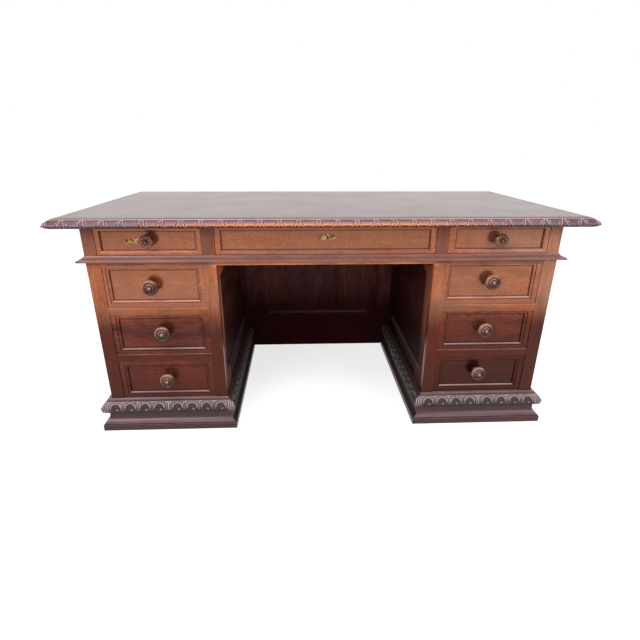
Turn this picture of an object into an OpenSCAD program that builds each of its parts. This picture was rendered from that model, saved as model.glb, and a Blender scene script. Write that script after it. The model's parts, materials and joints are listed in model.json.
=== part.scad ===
// Twin-pedestal kneehole desk with a carved top edge, waist moulding and carved bases.
// Millimetres, +Z up. The origin is on the floor, at the centre of the desk's outline.
// The sitter's side with the drawers faces -Y.

/* [Desk] */
// Height of the writing surface above the floor
desk_h = 785; // [740:1:820]
// Width of the case across both pedestals
case_w = 1584; // [1480:1:1700]
// Depth of the case from front to back
case_d = 720; // [660:1:780]
// Thickness of the front posts, front rails and back frames
frame_t = 24; // [20:1:30]
// Depth of the front rails from front to back
rail_d = 60; // [50:1:80]
// Glue line left between members of one frame
glue = 0.2; // [0.1:0.05:0.4]

/* [Top] */
// Thickness of the desktop panel
top_t = 22; // [18:1:26]
// Overhang of the carved edge past the case on every side
overhang = 78; // [60:1:100]
// Height of the edge moulding
edge_h = 30; // [27:1:36]
// Width of the edge moulding from its joint with the panel to its tip
edge_w = 48; // [42:1:56]
// Width of the carved slope from the upper arris to the tip
edge_slope = 31; // [24:1:36]
// Depth of the tip below the writing surface
edge_tip = 20; // [16:1:22]
// Width of the flat on the moulding's underside that is cut back from the tip
edge_under = 16; // [10:1:20]

/* [Upper case] */
// Height of the upper case from its underside to the desktop panel
upper_h = 141; // [139:1:160]
// Height of the front rail under the frieze drawers
band_h = 34; // [30:1:36]
// Height of the front rail above the frieze drawers
top_rail_h = 16; // [14:1:18]
// Depth of the front rail above the frieze drawers
top_rail_d = 46; // [44:1:60]
// Width of the frieze's corner posts
frieze_post_w = 40; // [34:1:50]
// Thickness of the ends, the back and the partitions
board_t = 20; // [16:1:22]
// Thickness of the dust board
dust_t = 12; // [8:1:16]
// Depth of the sunk panels on the ends and the back
sunk_d = 8; // [5:1:10]
// Width of the flat border round the sunk panels
sunk_border = 20; // [15:1:26]

/* [Waist moulding] */
// Height of the waist moulding
waist_h = 19; // [16:1:24]
// Projection of the waist moulding's lip
waist_out = 22; // [16:1:28]
// Height of the waist moulding's lip
waist_lip = 6; // [4:1:8]
// Radius of the waist moulding's cove
waist_cove_r = 18; // [15:1:30]

/* [Pedestals] */
// Width of each pedestal
pedestal_w = 424; // [390:1:460]
// Width of the front stile beside the kneehole, and of the frieze post above it
inner_stile_w = 42; // [36:1:50]
// Width of the front stile at the desk's end
outer_stile_w = 46; // [40:1:54]
// Height of the rails between the pedestal drawers
rail_h = 26.5; // [22:0.5:32]
// Thickness of the pedestals' side frames
side_t = 22; // [20:1:26]
// Height of the carcase above the floor, which only the plinth touches
foot_clear = 6; // [3:1:10]
// Thickness of the bottom board
bottom_t = 16; // [12:1:20]
// Height of the stretcher behind the upper drawer
stretcher_h = 20; // [16:1:24]

/* [Framed panels] */
// Thickness of a panel
panel_t = 8; // [6:1:9]
// Depth of a panel's face behind its frame
panel_set = 13; // [11:1:13]
// Width of the moulding round a panel
bead_w = 30; // [24:1:36]
// Depth of the quirk between a frame and its panel moulding
quirk = 1.5; // [1:0.5:2.5]
// Width of the stiles of the pedestals' side frames
side_stile_w = 26; // [22:1:40]
// Width of the rails of the pedestals' side frames and backs
side_rail_w = 40; // [34:1:60]
// Width of the stiles of the pedestals' backs
back_stile_w = 50; // [44:1:70]
// Distance of the kneehole panel's face from the back of the desk
modesty_set = 30; // [28:1:40]
// Height of the kneehole panel above the floor
modesty_clear = 10; // [6:1:30]
// Width of the kneehole panel's stiles
modesty_stile_w = 100; // [80:1:120]
// Height of the kneehole panel's bottom rail
modesty_low_h = 166; // [140:1:190]
// Height of the kneehole panel's top rail
modesty_high_h = 60; // [50:1:90]

/* [Base] */
// Height of the base from the floor to the top of its mouldings
base_h = 121; // [114:1:130]
// Projection of the plinth
plinth_out = 34; // [30:1:40]
// Height of the plinth's upright face
plinth_face_h = 35; // [28:1:38]
// Height of the plinth up to the carved moulding
plinth_h = 66; // [62:1:70]
// Projection of the plinth's top fillet
plinth_neck = 12; // [9:1:14]
// Height of the plinth's top fillet
plinth_fillet_h = 12; // [8:1:14]
// Radius of the plinth's cove
plinth_cove_r = 24; // [22:1:40]
// Radius of the carved round moulding
torus_r = 23; // [20:1:24]
// Projection of the carved round moulding
torus_out = 33; // [30:1:36]
// Projection of the fillet above the carved moulding
cap_out = 14; // [11:1:16]
// Height of the fillet above the carved moulding
cap_h = 3; // [2:0.5:4]
// Projection of the base's upper arris
cap_top_out = 4; // [3:1:6]

/* [Drawers] */
// Gap round a drawer front
front_gap = 1; // [0.6:0.1:1.6]
// Thickness of a drawer front
front_t = 21; // [19:1:24]
// Depth of a drawer front's face behind the case
front_set = 3; // [1:0.5:4]
// Width of the flat border at a drawer front's ends, and all round on the pedestal drawers
front_border = 17; // [14:1:20]
// Width of the flat border above and below a frieze drawer's field
frieze_border = 12; // [9:1:13]
// Depth of a drawer front's field
field_d = 10; // [8:0.5:11]
// Radius of the round moulding round a field
field_r = 8.5; // [6:0.5:9]
// Thickness of a drawer's sides
drawer_side_t = 12; // [9:1:14]
// Thickness of a drawer's back
drawer_back_t = 10; // [8:1:12]
// Thickness of a drawer's bottom
drawer_bottom_t = 7; // [5:1:8]
// Height of a drawer's bottom above its sides' lower edges
bottom_lift = 8; // [7:1:12]
// Length of a drawer's sides
drawer_len = 600; // [480:1:620]
// Gap between a drawer's side and its guide
side_gap = 1.2; // [0.8:0.1:1.8]
// Running gap between a drawer's side and its runner
run_gap = 0.4; // [0.3:0.1:0.8]
// Height left free above the frieze drawers' sides
frieze_drop = 10; // [6:1:16]
// Height left free above the pedestal drawers' sides
pedestal_drop = 30; // [26:1:40]
// Height left free between the top of a drawer's back and its sides
back_drop = 8; // [4:1:14]
// Width of a runner
runner_w = 34; // [26:1:44]
// Height of a runner
runner_h = 18; // [12:1:20]
// Height of a guide
guide_h = 22; // [16:1:30]
// Width of a drawer stop
stop_w = 34; // [24:1:50]
// Depth of a drawer stop
stop_d = 14; // [10:1:18]
// Height of a drawer stop
stop_h = 5; // [4:0.5:6]

/* [Knobs] */
// Diameter of the head of a pedestal drawer's knob
knob_d = 54; // [46:1:58]
// Diameter of the head of a frieze drawer's knob
small_knob_d = 46; // [40:1:50]
// Projection of a knob from the drawer's field
knob_out = 46; // [42:1:56]
// Radius of the head's round rim
knob_rim_r = 8; // [6:0.5:9]
// Depth of the head's face, from its rim to the tip of its boss
knob_face_d = 7; // [6:0.5:9]
// Height of the flare from the neck to the head
knob_flare_h = 5; // [3:1:7]
// Radius of the boss on the head
boss_r = 6; // [4:0.5:8]
// Diameter of a knob's neck
neck_d = 18; // [14:1:22]
// Diameter of a knob's foot
knob_foot_d = 28; // [24:1:36]
// Thickness of a knob's foot
knob_foot_t = 6; // [4:1:8]
// Diameter of a knob's tenon
tenon_d = 13; // [10:0.5:16]
// Gap round a knob's tenon
tenon_gap = 0.1; // [0.05:0.05:0.2]

/* [Locks] */
// Width of a lock case
lock_w = 56; // [50:1:64]
// Height of a lock case below the centre of its keyhole
lock_below = 12; // [10:1:18]
// Depth of a lock case
lock_d = 12; // [11:1:14]
// Width of a lock bolt
bolt_w = 20; // [16:1:26]
// Thickness of a lock bolt
bolt_t = 5; // [4:0.5:6]
// Length of a lock bolt
bolt_l = 26; // [22:1:28]
// Travel of a lock bolt
bolt_travel = 6; // [5:0.5:8]
// Gap round a lock bolt in its case
bolt_gap = 0.4; // [0.3:0.1:0.6]
// Gap round a lock bolt in the top rail
mortise_gap = 1.2; // [0.8:0.1:2]
// Radius of the keyhole's round end
keyhole_r = 1.9; // [1.5:0.1:1.95]
// Length of the keyhole's slot below its centre
keyhole_l = 6; // [4:0.5:7]
// Width of the keyhole's slot
keyhole_w = 2.2; // [1.5:0.1:3]
// Thickness of an escutcheon
plate_t = 1.5; // [1:0.5:2.5]
// Width of an escutcheon
plate_w = 52; // [46:1:56]
// Height of an escutcheon
plate_h = 20; // [18:1:24]

/* [Hidden] */
$fn = 48;
eps = 0.01;
half_w = case_w / 2;
half_d = case_d / 2;
knee_half = half_w - pedestal_w;
panel_z = desk_h - top_t;
upper_z = panel_z - upper_h;
frieze_z = upper_z + band_h;
frieze_top = panel_z - top_rail_h;
frieze_h = frieze_top - frieze_z;
waist_z = frieze_z - waist_h;
inner_y = -half_d + frame_t;
rail_y = -half_d + rail_d;
back_y = half_d - frame_t;
front_back_y = -half_d + front_set + front_t;
shut_y = front_back_y + run_gap;
frieze_back_y = half_d - board_t;
upper_post_x = knee_half + inner_stile_w;
frieze_open_x = half_w - frieze_post_w;
centre_open_x = knee_half;
partition_x = knee_half + (inner_stile_w - board_t) / 2;
ped_open_in = knee_half + inner_stile_w;
ped_open_out = half_w - outer_stile_w;
opening_h = (upper_z - base_h - 2 * rail_h) / 3;
modesty_y = half_d - modesty_set;

no_knob = undef;
no_lock = undef;
LEVELS = ["lower", "middle", "upper"];
// Kinds of drawer, with the free height above their sides, the border above and below their field,
// and the head of their knob
frieze = 0;
pedestal = 1;
DROP = [frieze_drop, pedestal_drop];
BORDER = [frieze_border, front_border];
HEAD = [small_knob_d, knob_d];
// Each drawer: name, left and right of its opening, bottom and top of its opening, kind, how far its
// knob sits off the centre, and how far its lock does. The knobs were fitted by eye.
DRAWERS = concat(
    [
        ["top_left", -frieze_open_x, -upper_post_x, frieze_z, frieze_top, frieze, [0, 4], [-50, -1]],
        ["top_centre", -centre_open_x, centre_open_x, frieze_z, frieze_top, frieze, no_knob, [2, 11]],
        ["top_right", upper_post_x, frieze_open_x, frieze_z, frieze_top, frieze, [-1, 2], no_lock]
    ],
    [for (i = [0:2]) pedestal_drawer("left", i, [[4, 2], [8, 11], [-12, 3]][i])],
    [for (i = [0:2]) pedestal_drawer("right", i, [[-8, 9], [-6, 8], [-5, 12]][i])]
);
KNOBBED = [for (d = DRAWERS) if (d[6] != no_knob) d];
LOCKED = [for (d = DRAWERS) if (d[7] != no_lock) d];
SIDES = ["left", "right"];
SIDE_PARTS = [
    "front_stiles", "drawer_rails", "runners", "outer_side", "inner_side", "back",
    "bottom_board", "plinth", "carved_base"
];

wood = "#6b2f1c";
dark_wood = "#3d1c14";
front_wood = "#7a3a22";
pale_wood = "#9a6a44";
knob_wood = "#6a5348";
brass = "#b08a45";
iron = "#4a4745";

function opening_z(i) = base_h + i * (opening_h + rail_h);

function pedestal_drawer(side, i, knob_off) = let (
    a = side == "left" ? -ped_open_out : ped_open_in,
    b = side == "left" ? -ped_open_in : ped_open_out
) [str(side, "_", LEVELS[i]), a, b, opening_z(i), opening_z(i) + opening_h, pedestal, knob_off, no_lock];

// Unit normal on the left of the way from a to b
function left_of(a, b) = [a[1] - b[1], b[0] - a[0]] / norm(b - a);

// Centre of a circle of radius r through a and b, on the given side of the way from a to b
function arc_centre(a, b, r, side) =
    (a + b) / 2 + side * left_of(a, b) * sqrt(r * r - pow(norm(b - a) / 2, 2));

// A block between two corners
module block(lo, hi) {
    translate(lo) cube(hi - lo);
}

// The slice of a circle that swells out on the left of the way from a to b
module swell(a, b, r) {
    out = left_of(a, b) * r;
    intersection() {
        translate(arc_centre(a, b, r, -1)) circle(r = r);
        polygon([a, b, b + out, a + out]);
    }
}

// The circle whose edge hollows out the chord from a to b, its centre on the left
module hollow(a, b, r) {
    translate(arc_centre(a, b, r, 1)) circle(r = r);
}

// The same piece on the right or, mirrored, on the left
module on_side(side) {
    if (side == "right") children();
    else mirror([1, 0, 0]) children();
}

// A length of moulding along +X on the plane y = 0, standing out towards -Y. The profile is given
// with x outwards. Each end is square or, where its flag is 1, mitred for an outer corner.
module length_of(x0, x1, out, mitre0, mitre1) {
    a = x0 + mitre0 * glue / 2;
    b = x1 - mitre1 * glue / 2;
    reach = out + 2;
    intersection() {
        translate([x0 - reach, 0, 0]) rotate([90, 0, 90]) mirror([1, 0, 0])
            linear_extrude(x1 - x0 + 2 * reach) children();
        linear_extrude(desk_h + 1)
            polygon([[a, 0], [b, 0], [b + mitre1 * reach, -reach], [a - mitre0 * reach, -reach]]);
    }
}

// Four mitred lengths of moulding round a rectangle w by d about the origin
module ring_of(w, d, out) {
    translate([0, -d / 2, 0]) length_of(-w / 2, w / 2, out, 1, 1) children();
    translate([0, d / 2, 0]) rotate([0, 0, 180]) length_of(-w / 2, w / 2, out, 1, 1) children();
    translate([w / 2, 0, 0]) rotate([0, 0, 90]) length_of(-d / 2, d / 2, out, 1, 1) children();
    translate([-w / 2, 0, 0]) rotate([0, 0, -90]) length_of(-d / 2, d / 2, out, 1, 1) children();
}

// Base mouldings round the right pedestal: front and outer end run through, the length beside the
// kneehole ends at the kneehole panel, and the back length ends at the pedestal's inner side
module base_of(out) {
    translate([0, -half_d, 0]) length_of(knee_half, half_w, out, 1, 1) children();
    translate([half_w, 0, 0]) rotate([0, 0, 90]) length_of(-half_d, half_d, out, 1, 1) children();
    translate([0, half_d, 0]) rotate([0, 0, 180]) length_of(-half_w, -knee_half, out, 1, 0) children();
    translate([knee_half, 0, 0]) rotate([0, 0, -90]) length_of(-modesty_y, half_d, out, 0, 1) children();
}

// Profiles, x outwards from the case and y up
module edge_profile() {
    arris = [edge_w - edge_slope, desk_h];
    tip = [edge_w, desk_h - edge_tip];
    under = [edge_w - edge_under, desk_h - edge_h];
    polygon([[0, under[1]], under, tip, arris, [0, desk_h]]);
    swell(arris, tip, norm(tip - arris));
    swell(tip, under, norm(tip - under));
}

module waist_profile() {
    lip = [waist_out - 1.5, waist_z + waist_lip];
    crown = [2, frieze_z];
    difference() {
        polygon([[0, waist_z], [waist_out, waist_z], [waist_out, lip[1]], lip, crown, [0, frieze_z]]);
        hollow(crown, lip, waist_cove_r);
    }
}

module plinth_profile() {
    low = [plinth_out - 2, plinth_face_h + 1];
    high = [plinth_neck, plinth_h - plinth_fillet_h];
    difference() {
        polygon([
            [0, 0], [plinth_out, 0], [plinth_out, plinth_face_h + 1], low, high,
            [plinth_neck, plinth_h], [0, plinth_h]
        ]);
        hollow(high, low, plinth_cove_r);
    }
}

module torus_profile() {
    low_z = plinth_h;
    high_z = plinth_h + 2 * torus_r;
    cap_z = high_z + cap_h;
    a = [cap_out - 1, cap_z];
    b = [cap_top_out, base_h];
    translate([0, low_z]) square([torus_out - torus_r, 2 * torus_r]);
    translate([torus_out - torus_r, low_z + torus_r]) circle(r = torus_r);
    translate([0, high_z]) square([cap_out, cap_h]);
    difference() {
        polygon([[0, cap_z], a, b, [0, base_h]]);
        hollow(b, a, norm(b - a));
    }
}

// The cut that sinks a field into a face on y = 0, w by h about the origin, with a round moulding
// along its edges
module field_cut(w, h, border, border_h, depth, r) {
    intersection() {
        rotate([90, 0, 90]) translate([0, 0, -w / 2]) linear_extrude(w)
            field_section(h, border_h, depth, r);
        rotate([0, 0, 90]) mirror([0, 1, 0]) translate([0, 0, -h / 2]) linear_extrude(h)
            field_section(w, border, depth, r);
    }
}

module field_section(span, border, depth, r) {
    clear = span - 2 * border;
    difference() {
        translate([-1, -clear / 2]) square([depth + 1, clear]);
        for (s = [-1, 1]) translate([depth, s * clear / 2]) circle(r = r);
    }
}

// Frame of two stiles and two rails, its face on y = 0 towards -Y, from the origin to [w, h]
module frame_of(w, h, stile, low, high, t) {
    block([0, 0, 0], [stile, t, h]);
    block([w - stile, 0, 0], [w, t, h]);
    block([stile + glue, 0, 0], [w - stile - glue, t, low]);
    block([stile + glue, 0, h - high], [w - stile - glue, t, h]);
}

// The panel of such a frame, with its four mitred mouldings
module panel_of(w, h, stile, low, high) {
    x0 = stile + glue;
    x1 = w - stile - glue;
    z0 = low + glue;
    z1 = h - high - glue;
    block([x0, panel_set, z0], [x1, panel_set + panel_t, z1]);
    translate([x0, 0, z0]) panel_bead(x1 - x0);
    translate([x1, 0, z1]) rotate([0, 180, 0]) panel_bead(x1 - x0);
    translate([x0, 0, z1]) rotate([0, 90, 0]) panel_bead(z1 - z0);
    translate([x1, 0, z0]) rotate([0, -90, 0]) panel_bead(z1 - z0);
}

module panel_bead(length) {
    intersection() {
        rotate([90, 0, 90]) linear_extrude(length) bead_profile();
        translate([0, panel_set, 0]) rotate([90, 0, 0]) linear_extrude(panel_set)
            polygon([
                [glue, 0], [length - glue, 0], [length - glue - bead_w, bead_w], [glue + bead_w, bead_w]
            ]);
    }
}

// Profile of a panel moulding: x is its depth behind the frame's face and y runs in over the panel
module bead_profile() {
    seat = panel_set - glue;
    outer = [quirk, 3];
    inner = [seat - 2, bead_w - 1];
    middle = (outer + inner) / 2;
    r = norm(inner - outer) * 0.45;
    difference() {
        union() {
            polygon([[quirk, 0], outer, inner, [seat - 2, bead_w], [seat, bead_w], [seat, 0]]);
            swell(outer, middle, r);
        }
        hollow(middle, inner, r);
    }
}

module desktop_panel() {
    w = case_w + 2 * (overhang - edge_w);
    d = case_d + 2 * (overhang - edge_w);
    color(wood) block([-w / 2, -d / 2, panel_z], [w / 2, d / 2, desk_h]);
}

module top_edge_moulding() {
    out = overhang - edge_w;
    color(dark_wood) ring_of(case_w + 2 * out, case_d + 2 * out, edge_w) edge_profile();
}

module frieze_posts() {
    color(wood) for (side = SIDES) on_side(side) {
        block([frieze_open_x, -half_d, upper_z], [half_w, inner_y, panel_z]);
        block([knee_half, -half_d, frieze_z + glue], [upper_post_x, inner_y, frieze_top - glue]);
    }
}

module frieze_rails() {
    x = frieze_open_x - glue;
    color(wood) {
        block([-x, -half_d, upper_z], [x, rail_y, frieze_z]);
        difference() {
            block([-x, -half_d, frieze_top], [x, -half_d + top_rail_d, panel_z]);
            for (d = LOCKED) bolt_mortise(d);
        }
    }
}

module frieze_ends() {
    d = frieze_back_y - inner_y - 2 * glue;
    h = panel_z - upper_z;
    show_h = panel_z - frieze_z;
    mid_z = (panel_z + frieze_z) / 2;
    side_w = frieze_open_x - upper_post_x;
    side_x = (frieze_open_x + upper_post_x) / 2;
    color(wood) {
        for (side = SIDES) on_side(side) difference() {
            block([half_w - board_t, inner_y + glue, upper_z], [half_w, frieze_back_y - glue, panel_z]);
            translate([half_w, inner_y + glue + d / 2, mid_z]) rotate([0, 0, 90])
                field_cut(d, show_h, sunk_border, sunk_border, sunk_d, sunk_d - quirk);
        }
        difference() {
            block([-half_w, frieze_back_y, upper_z], [half_w, half_d, panel_z]);
            translate([0, half_d, mid_z]) rotate([0, 0, 180]) {
                field_cut(2 * centre_open_x + 2 * quirk, show_h, sunk_border, sunk_border, sunk_d, sunk_d - quirk);
                for (s = [-1, 1]) translate([s * side_x, 0, 0])
                    field_cut(side_w + 2 * quirk, show_h, sunk_border, sunk_border, sunk_d, sunk_d - quirk);
            }
        }
    }
}

// Partitions behind the inner posts, with guides, runners and stops for the frieze drawers
module frieze_partitions() {
    y0 = inner_y + glue;
    y1 = frieze_back_y - glue;
    part_y = -half_d + top_rail_d + glue;
    run_y = rail_y + glue;
    low_z = frieze_z + glue;
    board_z = upper_z + dust_t + glue;
    end_x = half_w - board_t - glue;
    color(pale_wood) {
        for (side = SIDES) on_side(side) {
            block([partition_x, part_y, low_z], [partition_x + board_t, y1, panel_z]);
            block([knee_half, y0, low_z], [partition_x - glue, y1, frieze_z + guide_h]);
            block([partition_x + board_t + glue, y0, low_z], [upper_post_x, y1, frieze_z + guide_h]);
            block([frieze_open_x, y0, low_z], [end_x, y1, frieze_z + guide_h]);
            block([knee_half - runner_w / 2, run_y, board_z], [upper_post_x + runner_w / 2, y1, frieze_z]);
            block([frieze_open_x - runner_w / 2, run_y, board_z], [end_x, y1, frieze_z]);
        }
        for (i = [0:2]) drawer_stops(DRAWERS[i]);
    }
}

module dust_board() {
    x = half_w - board_t - glue;
    color(pale_wood) block([-x, rail_y + glue, upper_z], [x, frieze_back_y - glue, upper_z + dust_t]);
}

module waist_moulding() {
    color(wood) ring_of(case_w, case_d, waist_out) waist_profile();
}

module modesty_place() {
    translate([-knee_half, modesty_y, modesty_clear]) children();
}

module modesty_frame() {
    h = upper_z - modesty_clear;
    color(wood) modesty_place()
        frame_of(2 * knee_half, h, modesty_stile_w, modesty_low_h, modesty_high_h, frame_t);
}

module modesty_panel() {
    h = upper_z - modesty_clear;
    color(wood) modesty_place()
        panel_of(2 * knee_half, h, modesty_stile_w, modesty_low_h, modesty_high_h);
}

module front_stiles() {
    color(wood) {
        block([knee_half, -half_d, foot_clear], [ped_open_in, inner_y, upper_z]);
        block([ped_open_out, -half_d, foot_clear], [half_w, inner_y, upper_z]);
    }
}

// Front rails between the drawers, the bottom rail and the stretcher behind the upper drawer
module drawer_rails() {
    x0 = ped_open_in + glue;
    x1 = ped_open_out - glue;
    in0 = knee_half + side_t + glue;
    in1 = half_w - side_t - glue;
    color(wood) {
        for (i = [1:2]) {
            z = opening_z(i);
            block([x0, -half_d, z - rail_h], [x1, rail_y, z]);
        }
        block([x0, -half_d, plinth_h], [x1, rail_y, base_h]);
        block([in0, shut_y, upper_z - stretcher_h], [in1, shut_y + rail_d / 2, upper_z]);
    }
}

// Runners behind the rails, a guide on each side of every drawer, and the drawer stops
module runners(side) {
    y0 = rail_y + glue;
    y1 = back_y - glue;
    in0 = knee_half + side_t + glue;
    in1 = half_w - side_t - glue;
    color(pale_wood) {
        on_side(side) for (i = [0:2]) {
            z = opening_z(i);
            if (i > 0) {
                block([in0, y0, z - runner_h], [in0 + runner_w, y1, z]);
                block([in1 - runner_w, y0, z - runner_h], [in1, y1, z]);
            }
            block([in0, y0, z + glue], [ped_open_in, y1, z + guide_h]);
            block([ped_open_out, y0, z + glue], [in1, y1, z + guide_h]);
        }
        for (d = DRAWERS) if (d[5] == pedestal && (d[1] < 0) == (side == "left")) drawer_stops(d);
    }
}

module side_frame() {
    w = back_y - inner_y - 2 * glue;
    h = upper_z - foot_clear;
    low = base_h - foot_clear + side_rail_w;
    frame_of(w, h, side_stile_w, low, side_rail_w, side_t);
    panel_of(w, h, side_stile_w, low, side_rail_w);
}

module outer_side() {
    color(wood) translate([half_w, inner_y + glue, foot_clear]) rotate([0, 0, 90]) side_frame();
}

module inner_side() {
    color(wood) translate([knee_half, back_y - glue, foot_clear]) rotate([0, 0, -90]) side_frame();
}

module pedestal_back() {
    h = upper_z - foot_clear;
    low = base_h - foot_clear + side_rail_w;
    color(wood) translate([half_w, half_d, foot_clear]) rotate([0, 0, 180]) {
        frame_of(pedestal_w, h, back_stile_w, low, side_rail_w, frame_t);
        panel_of(pedestal_w, h, back_stile_w, low, side_rail_w);
    }
}

module bottom_board() {
    x0 = knee_half + side_t + glue;
    x1 = half_w - side_t - glue;
    color(pale_wood) block([x0, rail_y + glue, base_h - bottom_t], [x1, back_y - glue, base_h]);
}

module plinth() {
    color(dark_wood) base_of(plinth_out) plinth_profile();
}

module carved_base() {
    color(dark_wood) base_of(torus_out) torus_profile();
}

// Two small blocks on the rail that a drawer's front shuts against
module drawer_stops(d) {
    quarter = (d[2] - d[1]) / 4;
    for (x = [d[1] + quarter, d[2] - quarter])
        block([x - stop_w / 2, shut_y, d[3] + glue], [x + stop_w / 2, shut_y + stop_d, d[3] + stop_h]);
}

module drawer_front(d) {
    x0 = d[1] + front_gap;
    x1 = d[2] - front_gap;
    z0 = d[3] + front_gap;
    z1 = d[4] - front_gap;
    y0 = -half_d + front_set;
    color(front_wood) difference() {
        block([x0, y0, z0], [x1, y0 + front_t, z1]);
        translate([(x0 + x1) / 2, y0, (z0 + z1) / 2])
            field_cut(x1 - x0, z1 - z0, front_border, BORDER[d[5]], field_d, field_r);
        if (d[6] != no_knob) knob_place(d) rotate([-90, 0, 0])
            translate([0, 0, -1]) cylinder(d = tenon_d, h = front_t + 2);
        if (d[7] != no_lock) lock_place(d) keyhole(front_t);
    }
}

// Sides, back and bottom. The bottom runs under the back and ends at the front.
module drawer_box(d) {
    x0 = d[1] + side_gap;
    x1 = d[2] - side_gap;
    y0 = front_back_y;
    y1 = y0 + drawer_len;
    z0 = d[3] + run_gap;
    z1 = d[4] - DROP[d[5]];
    in0 = x0 + drawer_side_t + glue;
    in1 = x1 - drawer_side_t - glue;
    low = z0 + bottom_lift;
    color(pale_wood) {
        block([x0, y0, z0], [x0 + drawer_side_t, y1, z1]);
        block([x1 - drawer_side_t, y0, z0], [x1, y1, z1]);
        block([in0, y0, low], [in1, y1, low + drawer_bottom_t]);
        block([in0, y1 - drawer_back_t, low + drawer_bottom_t + glue], [in1, y1, z1 - back_drop]);
    }
}

// The centre of a drawer's field, moved to its knob or its lock
module knob_place(d) {
    translate([(d[1] + d[2]) / 2 + d[6][0], -half_d + front_set + field_d, (d[3] + d[4]) / 2 + d[6][1]])
        children();
}

module lock_place(d) {
    translate([(d[1] + d[2]) / 2 + d[7][0], -half_d + front_set + field_d, (d[3] + d[4]) / 2 + d[7][1]])
        children();
}

// Knob turned about its axis, with a foot, a neck, a round head, a ring and a boss
module knob(d) {
    head_z = knob_out - knob_face_d - 2 * knob_rim_r;
    head_r = HEAD[d[5]] / 2;
    foot_r = (knob_foot_d - knob_foot_t) / 2;
    flare_z = head_z - knob_flare_h;
    core_r = head_r - knob_rim_r;
    ring_r = (head_r + boss_r) / 2;
    face_z = knob_out - knob_face_d;
    color(knob_wood) knob_place(d) rotate([90, 0, 0]) rotate_extrude() {
        translate([0, field_d - front_t]) square([tenon_d / 2 - tenon_gap, front_t - field_d + eps]);
        square([foot_r, knob_foot_t]);
        translate([foot_r, knob_foot_t / 2]) circle(d = knob_foot_t);
        square([neck_d / 2, face_z]);
        polygon([[0, flare_z], [neck_d / 2, flare_z], [core_r, head_z + eps], [0, head_z + eps]]);
        translate([0, head_z]) square([core_r, 2 * knob_rim_r]);
        translate([core_r, head_z + knob_rim_r]) circle(r = knob_rim_r);
        translate([ring_r, face_z]) circle(r = 3);
        intersection() {
            translate([0, knob_out - boss_r]) circle(r = boss_r);
            translate([0, face_z - boss_r]) square([boss_r, knob_face_d + boss_r]);
        }
        square([boss_r - 1, knob_out - boss_r]);
    }
}

// The keyhole, a round end over a slot, from in front of its plate to a depth behind the field
module keyhole(depth) {
    translate([0, -plate_t - 1, 0]) {
        rotate([-90, 0, 0]) cylinder(r = keyhole_r, h = depth + plate_t + 1);
        translate([-keyhole_w / 2, 0, -keyhole_l]) cube([keyhole_w, depth + plate_t + 1, keyhole_l]);
    }
}

// Shaped brass plate: a round middle, two lobes on each side and a small tip
module escutcheon(d) {
    middle_r = plate_h / 2;
    lobe_r = plate_h * 0.32;
    small_r = plate_h * 0.24;
    tip_r = plate_h * 0.12;
    reach = plate_w / 2;
    color(brass) lock_place(d) difference() {
        rotate([90, 0, 0]) linear_extrude(plate_t) {
            circle(r = middle_r);
            for (s = [-1, 1]) {
                translate([s * reach * 0.42, 0]) circle(r = lobe_r);
                translate([s * reach * 0.7, 0]) circle(r = small_r);
                translate([s * (reach - tip_r), 0]) circle(r = tip_r);
            }
            square([2 * (reach - tip_r), tip_r], center = true);
        }
        keyhole(front_t);
    }
}

// Lock case behind the drawer front, with its keyhole and a channel for its bolt, open at the top
module lock_case(d) {
    y0 = front_t - field_d;
    top = d[4] - front_gap - lock_z(d);
    color(iron) lock_place(d) difference() {
        block([-lock_w / 2, y0, -lock_below], [lock_w / 2, y0 + lock_d, top]);
        keyhole(y0 + lock_d / 2);
        block(
            [-bolt_w / 2 - bolt_gap, bolt_y() - bolt_gap, top - bolt_l - bolt_gap - 1],
            [bolt_w / 2 + bolt_gap, bolt_y() + bolt_t + bolt_gap, top + 1]
        );
    }
}

function lock_z(d) = (d[3] + d[4]) / 2 + d[7][1];

// Front face of a bolt, behind the field it is locked through
function bolt_y() = front_t - field_d + (lock_d - bolt_t) / 2;

module lock_bolt(d) {
    top = d[4] - front_gap - lock_z(d) - 1;
    color(iron) lock_place(d)
        block([-bolt_w / 2, bolt_y(), top - bolt_l], [bolt_w / 2, bolt_y() + bolt_t, top]);
}

module bolt_mortise(d) {
    g = mortise_gap;
    z = d[4] - lock_z(d);
    lock_place(d) block(
        [-bolt_w / 2 - g, bolt_y() - g, z - 1],
        [bolt_w / 2 + g, bolt_y() + bolt_t + g, z + bolt_travel + g]
    );
}

desktop_panel();
top_edge_moulding();
frieze_posts();
frieze_rails();
frieze_ends();
frieze_partitions();
dust_board();
waist_moulding();
modesty_frame();
modesty_panel();
for (s = SIDES) {
    on_side(s) front_stiles();
    on_side(s) drawer_rails();
    runners(s);
    on_side(s) outer_side();
    on_side(s) inner_side();
    on_side(s) pedestal_back();
    on_side(s) bottom_board();
    on_side(s) plinth();
    on_side(s) carved_base();
}
for (d = DRAWERS) {
    drawer_front(d);
    drawer_box(d);
}
for (d = KNOBBED) {
    knob(d);
}
for (d = LOCKED) {
    escutcheon(d);
    lock_case(d);
    lock_bolt(d);
}
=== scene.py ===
"""A carved twin-pedestal kneehole desk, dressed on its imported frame."""
import json
import math
import random

import bmesh
import bpy
import numpy as np
from mathutils import Matrix, Vector

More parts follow.
